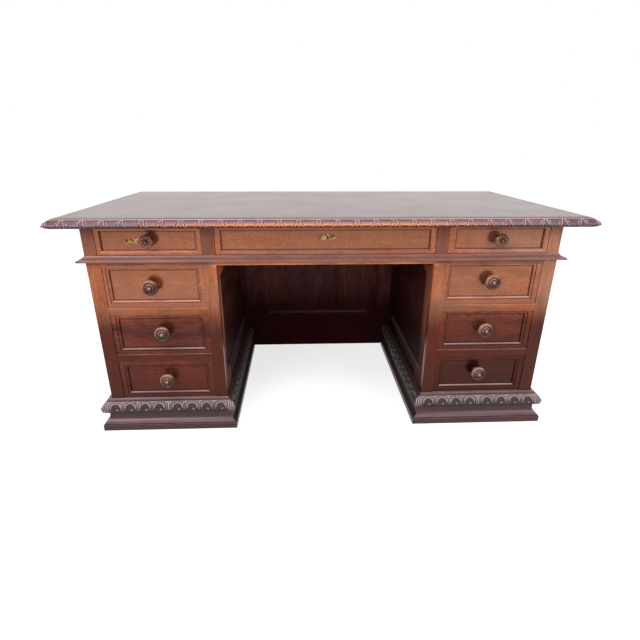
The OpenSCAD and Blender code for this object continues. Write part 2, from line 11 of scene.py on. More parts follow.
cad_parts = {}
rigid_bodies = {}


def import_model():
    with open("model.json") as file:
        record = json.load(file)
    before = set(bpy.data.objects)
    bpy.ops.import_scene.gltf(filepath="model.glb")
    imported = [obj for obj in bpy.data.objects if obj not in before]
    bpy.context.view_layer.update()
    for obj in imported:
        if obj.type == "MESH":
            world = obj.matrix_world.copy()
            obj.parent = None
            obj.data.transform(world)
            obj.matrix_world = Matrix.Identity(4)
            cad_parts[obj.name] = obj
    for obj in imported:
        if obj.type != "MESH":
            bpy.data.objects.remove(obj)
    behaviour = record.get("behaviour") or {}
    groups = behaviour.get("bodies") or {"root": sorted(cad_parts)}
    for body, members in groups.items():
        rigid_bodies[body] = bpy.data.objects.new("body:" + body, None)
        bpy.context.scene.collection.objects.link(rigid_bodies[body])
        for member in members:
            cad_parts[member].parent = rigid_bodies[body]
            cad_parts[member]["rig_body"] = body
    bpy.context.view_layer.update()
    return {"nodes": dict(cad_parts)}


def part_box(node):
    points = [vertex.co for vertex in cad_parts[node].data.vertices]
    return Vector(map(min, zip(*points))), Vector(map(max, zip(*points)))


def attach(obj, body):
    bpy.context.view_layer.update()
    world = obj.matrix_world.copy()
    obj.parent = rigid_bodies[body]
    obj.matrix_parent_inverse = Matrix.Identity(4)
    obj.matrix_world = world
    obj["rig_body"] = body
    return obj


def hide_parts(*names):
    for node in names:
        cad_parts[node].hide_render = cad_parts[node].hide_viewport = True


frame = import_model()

MM = 0.001
BODY = {node: obj["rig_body"] for node, obj in frame["nodes"].items()}
scene = bpy.context.scene
scene.view_settings.view_transform = "Standard"


def new_object(name, data):
    """An object in the scene."""
    made = bpy.data.objects.new(name, data)
    scene.collection.objects.link(made)
    return made


# Camera, fitted to the corners of the desk

CAMERA_PLACE, CAMERA_LENS = (-0.0848, -1.8161, 1.0006), 24.993
CAMERA_YAW, CAMERA_PITCH, CAMERA_ROLL = map(math.radians, (2.518, 21.677, -0.209))


def make_camera():
    sy, cy = math.sin(CAMERA_YAW), math.cos(CAMERA_YAW)
    sp, cp = math.sin(CAMERA_PITCH), math.cos(CAMERA_PITCH)
    forward = Vector((sy * cp, cy * cp, -sp))
    right = Vector((cy, -sy, 0))
    up = Vector((sy * sp, cy * sp, cp))
    cr, sr = math.cos(CAMERA_ROLL), math.sin(CAMERA_ROLL)
    x = right * cr - up * sr
    y = right * sr + up * cr
    data = bpy.data.cameras.new("camera")
    data.lens = CAMERA_LENS
    data.sensor_width = 36
    matrix = Matrix((x, y, -forward)).transposed().to_4x4()
    matrix.translation = CAMERA_PLACE
    scene.camera = new_object("camera", data)
    scene.camera.matrix_world = matrix


# Shader building

class Shader:
    """The nodes of a material or of the world, with short names for the kinds in use."""

    def __init__(self, name=None):
        """A new material of this name, or else the scene's world."""
        self.owner = bpy.data.materials.new(name) if name else scene.world
        self.owner.use_nodes = True
        self.tree = self.owner.node_tree
        self.tree.nodes.clear()
        self.surface = self.add("BsdfPrincipled" if name else "Background")
        output = self.add("OutputMaterial" if name else "OutputWorld")
        self.tree.links.new(self.surface.outputs[0], output.inputs["Surface"])

    def add(self, kind, **settings):
        node = self.tree.nodes.new("ShaderNode" + kind)
        for key, value in settings.items():
            setattr(node, key, value)
        return node

    def put(self, socket, value):
        """Links a node's output to the socket, or gives it a number, a vector or a colour."""
        if isinstance(value, bpy.types.NodeSocket):
            self.tree.links.new(value, socket)
        else:
            socket.default_value = (*value, 1.0) if socket.type == "RGBA" else value

    def set(self, name, value):
        self.put(self.surface.inputs[name], value)

    def result(self, kind, inputs, output=0, **settings):
        """An output of a new node that has these inputs."""
        node = self.add(kind, **settings)
        for key, value in inputs.items():
            self.put(node.inputs[key], value)
        return node.outputs[output]

    def math(self, op, a, b=0.0):
        return self.result("Math", {0: a, 1: b}, operation=op)

    def plus(self, a, b):
        return self.math("ADD", a, b)

    def times(self, a, b):
        return self.math("MULTIPLY", a, b)

    def average(self, a, share, b):
        """A share of a and the rest of b."""
        return self.plus(self.times(a, share), self.times(b, 1 - share))

    def vector(self, op, a, b=(0, 0, 0)):
        return self.result("VectorMath", {0: a, 1: b}, operation=op)

    def mix(self, factor, a, b, blend="MIX"):
        inputs = {0: factor, 6: a, 7: b}
        return self.result("Mix", inputs, 2, data_type="RGBA", blend_type=blend)

    def tinted(self, colour, tint):
        return self.mix(1.0, colour, tint, "MULTIPLY")

    def scaled(self, vector, factors):
        return self.vector("MULTIPLY", vector, factors)

    def noise(self, vector, scale, detail=3.0, rough=0.55, distortion=0.0):
        inputs = {"Vector": vector, "Scale": scale, "Detail": detail, "Roughness": rough}
        return self.result("TexNoise", inputs | {"Distortion": distortion}, "Fac")

    def span(self, value, low, high, to_low=0.0, to_high=1.0, smooth=True):
        kind = "SMOOTHSTEP" if smooth else "LINEAR"
        inputs = dict(enumerate((value, low, high, to_low, to_high)))
        return self.result("MapRange", inputs, interpolation_type=kind, clamp=True)

    def attribute(self, name, output="Vector"):
        return self.add("Attribute", attribute_name=name).outputs[output]

    def place(self):
        return self.add("TexCoord").outputs["Object"]

    def seen(self):
        """1 for what the camera sees, straight or in or through a surface, and 0 for the rest."""
        path = self.add("LightPath")
        seen = self.math("MAXIMUM", path.outputs["Is Camera Ray"], path.outputs["Is Glossy Ray"])
        return self.math("MAXIMUM", seen, path.outputs["Is Transmission Ray"])

    def split(self, vector):
        node = self.add("SeparateXYZ")
        self.put(node.inputs[0], vector)
        return node.outputs

    def bump(self, height, distance, strength, normal=None):
        inputs = {"Height": height, "Distance": distance, "Strength": strength}
        if normal is not None:
            inputs["Normal"] = normal
        return self.result("Bump", inputs)


def grain_coordinates(s):
    """Coordinates along the board, with its own place in the figure."""
    seed = s.attribute("seed", "Fac")
    shift = s.add("CombineXYZ")
    for socket, factor in zip(shift.inputs, (37.0, 61.0, 83.0)):
        s.put(socket, s.times(seed, factor))
    return s.vector("ADD", s.attribute("along"), shift.outputs[0]), seed


def edge_distance(s):
    """Distance from the nearest edge of the board, as the middle one of three."""
    away = s.vector("SUBTRACT", s.attribute("half"), s.vector("ABSOLUTE", s.attribute("along")))
    x, y, z = s.split(away)
    low, high = s.math("MINIMUM", x, y), s.math("MAXIMUM", x, y)
    return s.math("MAXIMUM", low, s.math("MINIMUM", high, z))


def figure(s, coordinates):
    """Long figure, fine streaks and pores, each from 0 to 1."""
    broad = s.noise(s.scaled(coordinates, (1.0, 3.4, 3.4)), 4.0, 4.0, 0.6, 1.2)
    streak = s.noise(s.scaled(coordinates, (1.0, 22.0, 22.0)), 9.0, 5.0, 0.66, 0.5)
    pores = s.noise(s.scaled(coordinates, (1.0, 24.0, 24.0)), 55.0, 2.0, 0.5)
    return broad, streak, pores


# Colours of age and of painted light and shade, and the places in metres between which these marks fade
# in or out

PORE, STAIN, SHADE = (0.03, 0.012, 0.008), (0.05, 0.018, 0.012), (0.008, 0.002, 0.002)
COOL, WARM, HAZE = (0.84, 0.95, 1.08), (1.18, 1.0, 0.84), (0.45, 0.55, 0.52)
GLOOM, DIRT_AND_SHADE, DUST_AND_SHEEN = (0.004, 0.001, 0.001), (0.014, 0.007, 0.007), (0.4, 0.3, 0.29)
SHADE_X, GLOW_X, GLOW_Z = (-0.4, 0.5), (0.2, 0.7), (0.776, 0.767)
RAIL_X, RAIL_LOW_Z, RAIL_TOP_Z = (0.4, 0.36), (0.612, 0.618), (0.64, 0.634)
STRIP_X, STRIP_Y, JOINT_LINE_Y = (-0.2, 0.2), (-0.25, -0.22), (-0.337, -0.326)


def mottled(s, colour, place, strength):
    fine = s.noise(s.scaled(place, (1.0, 1.0, 1.6)), 95.0, 3.0, 0.7, 0.4)
    patchy = s.span(s.average(fine, 0.65, s.noise(place, 26.0, 2.0)), 0.36, 0.64, smooth=False)
    deep = (1 - strength, 1 - 1.4 * strength, 1 - 1.6 * strength)
    pale = (1 + strength, 1 + strength, 1 + strength)
    return s.tinted(colour, s.mix(patchy, deep, pale))


def lit_strip(s, x, y, aged):
    """Share and colour of the light that falls on the front of the kneehole's sides."""
    lit = s.mix(aged, (0.12, 0.034, 0.024), (0.42, 0.16, 0.095))
    lit = s.mix(s.span(y, *JOINT_LINE_Y, 0.8, 0.0), lit, (0.01, 0.003, 0.003))
    return s.times(s.span(y, *STRIP_Y, 1.0, 0.0), s.span(x, *STRIP_X, 0.88, 0.4)), lit


def worn_edges(s, place, worn):
    width = s.times(s.span(s.noise(place, 60.0, 3.0, 0.6), 0.35, 0.7), 0.0028)
    return s.times(s.span(edge_distance(s), 0.0004, s.plus(width, 0.0008), 1.0, 0.0), worn)


def wood(
    name, low, high, rough=0.34, coat=0.0, ior=1.5, level=0.2, tint=(1, 1, 1), fade=(0.455, 0.52),
    floor=(0.1, 0.42), side=(0.45, 0.58), mottle=0.0, bright=(), painted_sheen=(), dim=(), pale_rail=False,
    behind=None, glow=False, relief="none", cut=(0.25, 0.9), high_at=(0.14, 0.0), dust_and_sheen=0.35,
    worn=0.45, crest=None,
):
    """Polished wood with the marks of age, and with painted light and shade. Places are in metres.

    low, high: dark and light colour of the grain near the floor and near the top, painted shade and
    light by height
    fade: heights between which low turns into high
    floor, side: heights of the shade near the floor, and its share at the left and at the right
    mottle: strength of the small patches
    bright, painted_sheen, dim: where from left to right the wood is paler with painted light, hazy with
    painted sheen and darker with painted shade
    pale_rail: the rail over the kneehole is paler, with painted light
    behind: colours of the faces turned back, away from the kneehole's painted shade, with a painted lit
    strip at the front of the kneehole's sides
    glow: the middle of the top's front edge is warm, a painted reflection
    relief: none, dirt for mouldings with grooves darkened by dirt and painted shade, or carved for
    crests paled by wear and a painted highlight too
    cut, high_at: how deep the dark of a groove and the pale of a crest reach
    dust_and_sheen, worn, crest: share of dust and painted sheen on faces turned up, share and colour of
    the rubbed parts
    rough, coat, ior, level, tint: the shader's own roughness, clear coat and reflection
    """
    s = Shader(name)
    coordinates, seed = grain_coordinates(s)
    broad, streak, pores = figure(s, coordinates)
    place = s.place()
    x, y, z = s.split(place)
    cloud = s.noise(place, 5.0, 3.0, 0.6)
    # Painted light by height: the lower wood takes the darker colours, as if in shade
    aged = s.span(s.plus(z, s.times(cloud, 0.05)), *fade)
    tone = s.plus(s.average(broad, 0.62, streak), s.times(s.math("SUBTRACT", seed, 0.5), 0.16))
    factor = s.span(tone, 0.28, 0.7, smooth=False)
    colour = s.mix(aged, s.mix(factor, *low), s.mix(factor, *high))
    colour = s.mix(s.span(pores, 0.36, 0.46, 0.45, 0.0), colour, PORE)
    stain = s.span(s.noise(place, 11.0, 4.0, 0.65), 0.56, 0.72, 0.0, 0.25)
    colour = s.mix(stain, colour, STAIN)
    if mottle:
        colour = mottled(s, colour, place, mottle)
    # Painted shade near the floor, its share growing from left to right
    shaded = s.times(s.span(z, *floor, 1.0, 0.0), s.span(x, *SHADE_X, *side))
    colour = s.mix(shaded, colour, SHADE)
    cast = s.span(s.noise(place, 8.0, 4.0, 0.65, 0.6), 0.36, 0.64)
    colour = s.tinted(colour, s.mix(cast, COOL, WARM))
    facing = s.split(s.add("NewGeometry").outputs["Normal"])
    # Painted light: paler and greyer from the first place to the second, left to right
    if bright:
        colour = s.mix(s.span(x, *bright), colour, s.tinted(colour, (2.1, 2.6, 3.0)))
    # Painted sheen: a grey haze over a patch of the wood
    if painted_sheen:
        left, right, bottom, top, share = painted_sheen
        hazy = s.times(s.span(x, left, right), s.span(z, bottom, top, 0.0, share))
        colour = s.mix(hazy, colour, HAZE)
    # Painted shade: darker from the first place to the second, left to right
    if dim:
        start, stop, share = dim
        colour = s.mix(s.span(x, start, stop, 0.0, share), colour, GLOOM)
    # Painted light on the rail over the kneehole, under the waist moulding
    if pale_rail:
        rail = s.times(s.span(z, *RAIL_LOW_Z), s.span(z, *RAIL_TOP_Z))
        rail = s.times(rail, s.span(s.math("ABSOLUTE", x), *RAIL_X))
        colour = s.mix(rail, colour, s.tinted(colour, (1.9, 2.0, 2.0)))
    # The kneehole's colours are painted shade; faces turned back take these colours, and a painted lit
    # strip falls on the front of the kneehole's sides
    if behind:
        colour = s.mix(s.span(facing[1], 0.3, 0.7), colour, s.mix(factor, *behind))
        strip, lit = lit_strip(s, x, y, aged)
        colour = s.mix(strip, colour, lit)
    # Painted warm reflection in the middle of the top's front edge, and on its crests
    if glow:
        warm = s.times(s.span(s.math("ABSOLUTE", x), *GLOW_X, 0.9, 0.0), s.span(z, *GLOW_Z))
        colour = s.mix(warm, colour, (0.36, 0.1, 0.033))
    # Hollows, quirks and gaps darken, with dirt and painted shade
    if relief != "none":
        hollow = s.attribute("relief", "Fac")
        colour = s.mix(s.span(hollow, *cut, 0.0, 0.88), colour, DIRT_AND_SHADE)
    # Faces turned up take a grey of dust and painted sheen
    dust_and_sheen_share = s.times(s.span(facing[2], 0.1, 0.75), s.span(cloud, 0.3, 0.6, 0.5 * dust_and_sheen, dust_and_sheen))
    if relief == "dirt":
        # Negative relief is paler and warmer: wear with painted light
        colour = s.mix(s.span(hollow, 0.0, -1.0), colour, s.tinted(colour, (1.6, 1.35, 0.95)))
        dust_and_sheen_share = s.times(dust_and_sheen_share, s.span(hollow, 0.0, 0.4, 1.0, 0.0))
    colour = s.mix(dust_and_sheen_share, colour, DUST_AND_SHEEN)
    # Carved crests are pale with wear and a painted highlight; plain boards are paler at worn edges
    if relief == "carved":
        rubbed = s.times(s.span(hollow, *high_at), s.span(hollow, -0.3, 0.0, 0.0, worn))
    else:
        rubbed = worn_edges(s, place, worn)
    if crest is None:
        lighter = s.tinted(colour, (2.1, 1.75, 1.4))
    elif glow:
        lighter = s.mix(warm, crest, (0.85, 0.4, 0.19))
    else:
        lighter = crest
    s.set("Base Color", s.mix(rubbed, colour, lighter))
    gloss = s.span(streak, 0.2, 0.8, rough - 0.06, rough + 0.08)
    if relief == "dirt":
        gloss = s.plus(gloss, s.times(dust_and_sheen_share, 0.6))
    s.set("Roughness", gloss)
    s.set("IOR", ior)
    s.set("Specular IOR Level", level)
    s.set("Specular Tint", tint)
    if coat:
        s.set("Coat Weight", coat)
        s.set("Coat Roughness", 0.12)
    s.set("Normal", s.bump(broad, 0.0006, 0.25, s.bump(pores, 0.00008, 0.5)))
    return s.owner


def top_wood():
    """The polished top, smoother than the rest and a little mottled where it has been rubbed."""
    s = Shader("top_wood")
    broad, streak, _ = figure(s, grain_coordinates(s)[0])
    factor = s.span(s.average(broad, 0.6, streak), 0.35, 0.66)
    s.set("Base Color", s.mix(factor, (0.042, 0.016, 0.013), (0.092, 0.035, 0.027)))
    wear = s.noise(s.place(), 6.0, 4.0, 0.6)
    s.set("Roughness", s.span(wear, 0.3, 0.7, 0.19, 0.23))
    s.set("Specular IOR Level", 0.45)
    s.set("Normal", s.bump(broad, 0.0008, 0.15, s.bump(streak, 0.00004, 0.4)))
    return s.owner


def inside_wood():
    """Planed, unpolished wood of drawer boxes and runners, darkened by age."""
    s = Shader("inside_wood")
    coordinates, seed = grain_coordinates(s)
    broad, streak, pores = figure(s, coordinates)
    factor = s.span(s.average(broad, 0.5, streak), 0.3, 0.7)
    colour = s.mix(factor, (0.34, 0.19, 0.095), (0.56, 0.36, 0.2))
    colour = s.mix(s.times(s.math("SUBTRACT", seed, 0.5), 0.5), colour, (0.3, 0.17, 0.09))
    dirt = s.noise(s.place(), 7.0, 4.0, 0.6)
    colour = s.mix(s.span(dirt, 0.5, 0.75, 0.0, 0.4), colour, (0.17, 0.09, 0.05))
    colour = s.mix(s.span(pores, 0.36, 0.46, 0.35, 0.0), colour, (0.12, 0.06, 0.03))
    s.set("Base Color", colour)
    s.set("Roughness", 0.72)
    s.set("Specular IOR Level", 0.3)
    s.set("Normal", s.bump(s.plus(pores, streak), 0.00015, 0.6))
    return s.owner


def metal(name, clean, tarnished, rough):
    """Aged metal, clean where it is rubbed and dull between."""
    s = Shader(name)
    place = s.place()
    patches = s.noise(place, 90.0, 4.0, 0.65)
    scratches = s.noise(s.scaled(place, (1.0, 1.0, 9.0)), 260.0, 3.0, 0.6)
    worn = s.span(s.average(patches, 0.7, scratches), 0.4, 0.62)
    s.set("Base Color", s.mix(worn, tarnished, clean))
    s.set("Metallic", 1.0)
    s.set("Roughness", s.span(patches, 0.3, 0.7, rough + 0.15, rough))
    s.set("Normal", s.bump(patches, 0.0002, 0.5))
    return s.owner


RED_GLOSS = (1.0, 0.4, 0.24)
CASE = wood(
    "case_wood",
    low=((0.015, 0.003, 0.003), (0.078, 0.0125, 0.011)),
    high=((0.19, 0.058, 0.028), (0.43, 0.175, 0.09)),
    rough=0.28, level=0.5, tint=RED_GLOSS, fade=(0.4, 0.54), pale_rail=True, mottle=0.12,
    painted_sheen=(0.7, 0.78, 0.4, 0.54, 0.1),
)
POST = wood(
    "post_wood",
    low=((0.012, 0.0026, 0.003), (0.06, 0.0115, 0.0105)),
    high=((0.12, 0.042, 0.026), (0.28, 0.112, 0.075)),
    rough=0.28, level=0.5, tint=RED_GLOSS, bright=(0.68, 0.75),
)
FRONT = wood(
    "drawer_front_wood",
    low=((0.03, 0.008, 0.004), (0.11, 0.038, 0.018)),
    high=((0.03, 0.008, 0.004), (0.235, 0.09, 0.042)),
    rough=0.2, ior=2.0, level=0.9, tint=RED_GLOSS, relief="dirt", dust_and_sheen=0.6, fade=(0.47, 0.57),
    dim=(-0.35, -0.55, 0.2), mottle=0.5, cut=(0.08, 0.6), painted_sheen=(0.4, 0.72, 0.58, 0.63, 0.1),
)
# A darker copy of the fronts for the lower drawers, with painted shade
FRONT_LOW = wood(
    "lower_front_wood",
    low=((0.01, 0.0024, 0.0024), (0.18, 0.05, 0.032)),
    high=((0.12, 0.035, 0.018), (0.34, 0.115, 0.06)),
    rough=0.2, level=0.5, tint=(1.0, 0.33, 0.25), relief="dirt", dust_and_sheen=0.6, fade=(0.42, 0.475),
    floor=(0.1, 0.5), side=(0.75, 1.0), dim=(0.0, 0.5, 0.25), mottle=0.35, cut=(0.08, 0.6),
)
# Wood of the kneehole, darkened with painted shade but for the faces turned back
SHELTERED = dict(
    behind=((0.1, 0.03, 0.016), (0.25, 0.095, 0.052)),
    rough=0.55, ior=1.2, level=0.1, tint=RED_GLOSS, dust_and_sheen=0.15,
)
INNER = wood(
    "kneehole_wood",
    low=((0.006, 0.0012, 0.0016), (0.04, 0.008, 0.01)),
    high=((0.017, 0.0045, 0.005), (0.14, 0.044, 0.042)),
    fade=(0.25, 0.5), dim=(0.2, 0.34, 0.5), **SHELTERED,
)
KNEE_BACK = wood(
    "kneehole_back_wood",
    low=((0.01, 0.0016, 0.0024), (0.065, 0.012, 0.016)),
    high=((0.035, 0.011, 0.013), (0.26, 0.1, 0.1)),
    fade=(0.2, 0.45), **SHELTERED,
)
DARK = wood(
    "dark_wood",
    low=((0.03, 0.01, 0.011), (0.09, 0.033, 0.036)),
    high=((0.12, 0.047, 0.036), (0.26, 0.112, 0.085)),
    rough=0.26, level=0.45, tint=(1.0, 0.8, 0.84), relief="dirt", dust_and_sheen=0.1,
)
CARVED = wood(
    "carved_wood",
    low=((0.045, 0.021, 0.026), (0.12, 0.06, 0.07)),
    high=((0.08, 0.034, 0.034), (0.19, 0.088, 0.082)),
    rough=0.3, level=0.4, tint=(1.0, 0.85, 0.88), worn=0.8, relief="carved", dust_and_sheen=0.1,
    crest=(0.33, 0.25, 0.265), cut=(0.35, 0.8), high_at=(0.3, 0.06),
)
EDGE = wood(
    "edge_wood",
    low=((0.035, 0.017, 0.019), (0.095, 0.048, 0.053)),
    high=((0.035, 0.014, 0.017), (0.11, 0.048, 0.055)),
    rough=0.3, level=0.4, tint=(1.0, 0.82, 0.85), worn=0.75, relief="carved", glow=True, dust_and_sheen=0.03,
    crest=(0.4, 0.3, 0.32), cut=(0.6, 0.95), high_at=(0.38, 0.1),
)
# The carved base and plinth inside the kneehole, darkened with painted shade
SHADED = wood(
    "kneehole_base_wood",
    low=((0.008, 0.005, 0.006), (0.03, 0.017, 0.02)),
    high=((0.008, 0.005, 0.006), (0.03, 0.017, 0.02)),
    rough=0.34, level=0.25, worn=0.5, relief="carved", dust_and_sheen=0.06,
)
KNOB = wood(
    "knob_wood",
    low=((0.05, 0.016, 0.01), (0.15, 0.055, 0.033)),
    high=((0.075, 0.025, 0.014), (0.21, 0.08, 0.045)),
    rough=0.2, level=0.5, tint=(1.0, 0.6, 0.45), coat=0.2, worn=0.65, relief="carved", dust_and_sheen=0.05,
    cut=(0.15, 0.7), crest=(0.36, 0.19, 0.135),
)
TOP = top_wood()
INSIDE = inside_wood()
BRASS = metal("brass", (0.58, 0.37, 0.16), (0.055, 0.031, 0.015), 0.36)
IRON = metal("iron", (0.3, 0.28, 0.26), (0.09, 0.075, 0.065), 0.45)


# Boards taken over from the frame, with softened and worn edges

SLOT_OF_ENDING = {
    ("partitions", "dust_board", "runners", "bottom_board", "drawer_box"): "inside_wood",
    ("plinth", "carved_base", "edge_moulding"): "dark_wood",
    ("drawer_front",): "drawer_front_wood",
    ("knob",): "knob_wood",
    ("escutcheon",): "brass",
    ("lock_case", "lock_bolt"): "iron",
}
SLOT = {node: "case_wood" for node in frame["nodes"]}
for endings, slot in SLOT_OF_ENDING.items():
    SLOT.update({node: slot for node in SLOT if node.endswith(endings)})
MATERIAL = {
    "case_wood": CASE, "drawer_front_wood": FRONT, "dark_wood": DARK, "knob_wood": KNOB,
    "inside_wood": INSIDE, "brass": BRASS, "iron": IRON,
}


def set_attribute(mesh, name, values):
    """Gives each point a number, or a vector when there are three values for each."""
    values = np.asarray(values, np.float32).ravel()
    kind, key = ("FLOAT_VECTOR", "vector") if len(values) > len(mesh.vertices) else ("FLOAT", "value")
    mesh.attributes.new(name, kind, "POINT").data.foreach_set(key, values)


def set_board(mesh, along, half, seed):
    """Where each point lies along its board, half the board's size, and the board's own number."""
    set_attribute(mesh, "along", along)
    set_attribute(mesh, "half", half)
    set_attribute(mesh, "seed", seed)


def one_seed(name, mesh):
    """The same number at every point, drawn from the name."""
    return np.full(len(mesh.vertices), random.Random(name).random())


def points_of(mesh):
    co = np.empty(len(mesh.vertices) * 3)
    mesh.vertices.foreach_get("co", co)
    return co.reshape(-1, 3)


def mesh_of(bm, name):
    mesh = bpy.data.meshes.new(name)
    bm.to_mesh(mesh)
    bm.free()
    return mesh


def closed_mesh(name, co, faces):
    """A mesh from points and faces, with every face turned outward."""
    mesh = bpy.data.meshes.new(name)
    mesh.from_pydata(co.tolist(), [], faces)
    bm = bmesh.new()
    bm.from_mesh(mesh)
    bmesh.ops.recalc_face_normals(bm, faces=bm.faces)
    bm.to_mesh(mesh)
    bm.free()
    return mesh


def add_piece(name, mesh, material, node):
    """Puts a mesh in the scene in place of the node and on its body."""
    piece = new_object(name, mesh)
    mesh.materials.clear()
    mesh.materials.append(material)
    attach(piece, BODY[node])
    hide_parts(node)
    return piece


def shade_smooth(piece, angle):
    """Smooth but for the edges that bend by more than the angle."""
    piece.data.shade_smooth()
    piece.data.set_sharp_from_angle(angle=math.radians(angle))


def weigh_normals(piece, angle):
    shade_smooth(piece, angle)
    modifier = piece.modifiers.new("normals", "WEIGHTED_NORMAL")
    modifier.keep_sharp = True


# Degrees from which an edge is sharp
BOARD_ANGLE, FRONT_ANGLE, PLATE_ANGLE = 32, 30, 40
PLAIN_ANGLE, CARVED_ANGLE, KNOB_ANGLE = 35, 50, 60

# Rounding of the boards' edges
IRON_EDGE, BOARD_EDGE, RAIL_EDGE = 0.3, 0.8, 1.4


def islands(bm):
    """The number of each vertex's loose part, and how many parts there are."""
    bm.verts.index_update()
    part = np.full(len(bm.verts), -1)
    count = 0
    for seed in bm.verts:
        if part[seed.index] >= 0:
            continue
        part[seed.index] = count
        stack = [seed]
        while stack:
            for edge in stack.pop().link_edges:
                for vert in edge.verts:
                    if part[vert.index] < 0:
                        part[vert.index] = count
                        stack.append(vert)
        count += 1
    return part, count


def dress(node, material, edge, upright):
    """A node's boards with rounded edges and grain along each."""
    bm = bmesh.new()
    bm.from_mesh(frame["nodes"][node].data)
    bmesh.ops.remove_doubles(bm, verts=bm.verts, dist=1e-5)
    bmesh.ops.dissolve_limit(
        bm, angle_limit=math.radians(0.5), verts=bm.verts, edges=bm.edges, delimit={"NORMAL"}
    )
    bent = math.radians(BOARD_ANGLE)
    sharp = [e for e in bm.edges if e.is_manifold and e.is_convex and e.calc_face_angle() > bent]
    bmesh.ops.bevel(
        bm, geom=sharp, offset=edge * MM, offset_type="OFFSET", segments=2, profile=0.5,
        affect="EDGES", clamp_overlap=True,
    )
    part, count = islands(bm)
    mesh = mesh_of(bm, node)
    co = points_of(mesh)
    along, half, seed = np.zeros_like(co), np.zeros_like(co), np.zeros(len(co))
    rng = random.Random(node)
    for k in range(count):
        inside = part == k
        low, high = co[inside].min(0), co[inside].max(0)
        order = list(np.argsort(low - high, kind="stable"))
        if upright:
            order = [2] + [a for a in order if a != 2]
        along[inside] = (co[inside] - (low + high) / 2)[:, order]
        half[inside] = ((high - low) / 2)[order]
        seed[inside] = rng.random()
    set_board(mesh, along, half, seed)
    piece = add_piece(node + "_dressed", mesh, material, node)
    weigh_normals(piece, BOARD_ANGLE)


# Carved lengths of moulding

def arc(a, b, r, count):
    """Points on an arc from a to b that bulges to the left of the way."""
    a, b = np.array(a, float), np.array(b, float)
    d = b - a
    half = np.linalg.norm(d) / 2
    left = np.array((-d[1], d[0])) / (2 * half)
    centre = (a + b) / 2 - left * math.sqrt(max(r * r - half * half, 0))
    start = math.atan2(*(a - centre)[::-1])
    stop = math.atan2(*(b - centre)[::-1])
    if stop > start:
        stop -= 2 * math.pi
    angles = np.linspace(start, stop, count)
    return np.stack([centre[0] + r * np.cos(angles), centre[1] + r * np.sin(angles)], 1)


def smooth(x, a, b):
    t = np.clip((x - a) / (b - a), 0, 1)
    return t * t * (3 - 2 * t)


def ridge(x, width):
    return np.exp(-(x / width) ** 2)


def hand(k, seed):
    """A small number for each motif, as no two are cut quite alike."""
    return np.sin(k * 12.9898 + seed * 78.233) * 43758.5453 % 1.0 - 0.5


# Deepest cut of each carving, then the arches' radius, middle and the length they are carved over
EDGE_CUT, BASE_CUT = 4.0, 5.0
ARCH_R, ARCH_MIDDLE, TORUS_GIRTH = 18.5, 0.44, 72.0


def leaf_and_dart(pitch):
    """Drooping leaves between split darts, under a plain strip, with a dart at each corner."""
    def depth(s, v, corner):
        v = np.clip((v - 0.16) / 0.84, 0, 1)
        k = np.round(s / pitch)
        u = s / pitch - k + 0.03 * hand(k, 1)
        a = 0.5 - np.abs(u)
        slant = np.where(u > 0, 1, -1) * hand(np.round(s / pitch - 0.5), 5)
        split = a - 0.03 - 0.24 * (1 + 0.35 * slant) * v
        low = 0.92 - 0.34 * (np.abs(u) / 0.4) ** 2
        leg = ridge(split, 0.038) * (1 - smooth(v, 0.8, 0.95))
        vein = 0.95 * ridge(split - 0.12, 0.032) * smooth(v, 0.12, 0.3) * (1 - smooth(v, 0.7, 0.85))
        groove = ridge(split - 0.06, 0.022) * smooth(v, 0.1, 0.25) * (1 - smooth(v, 0.8, 0.95))
        hem = ridge(v - low + 0.06, 0.07) * smooth(a, 0.1, 0.18)
        fold = 0.85 * ridge(v - 0.6 * low, 0.055) * smooth(a, 0.24, 0.36)
        leaf = 0.5 * smooth(split, -0.04, 0.0) * (1 - smooth(v, low, low + 0.06)) * (1 - 0.9 * groove)
        wedge = 0.42 * smooth(-split, 0.03, 0.06)
        tip = np.sqrt(np.clip(1 - (a / 0.075) ** 2 - ((v - 0.76) / 0.17) ** 2, 0, 1))
        high = np.maximum.reduce([leaf, leg, vein, hem, fold, wedge, tip])
        high = np.maximum(high, 0.55 * (1 - smooth(v, 0.14, 0.3)))
        rounded = 1 - smooth(corner, 4.0, 12.0)
        high = high * (1 - rounded) + np.maximum(high, 0.6) * rounded
        return EDGE_CUT * (1 - np.clip(high, 0, 1)) * smooth(v, 0.0, 0.1) * (1 - smooth(v, 0.95, 1.0))
    return depth


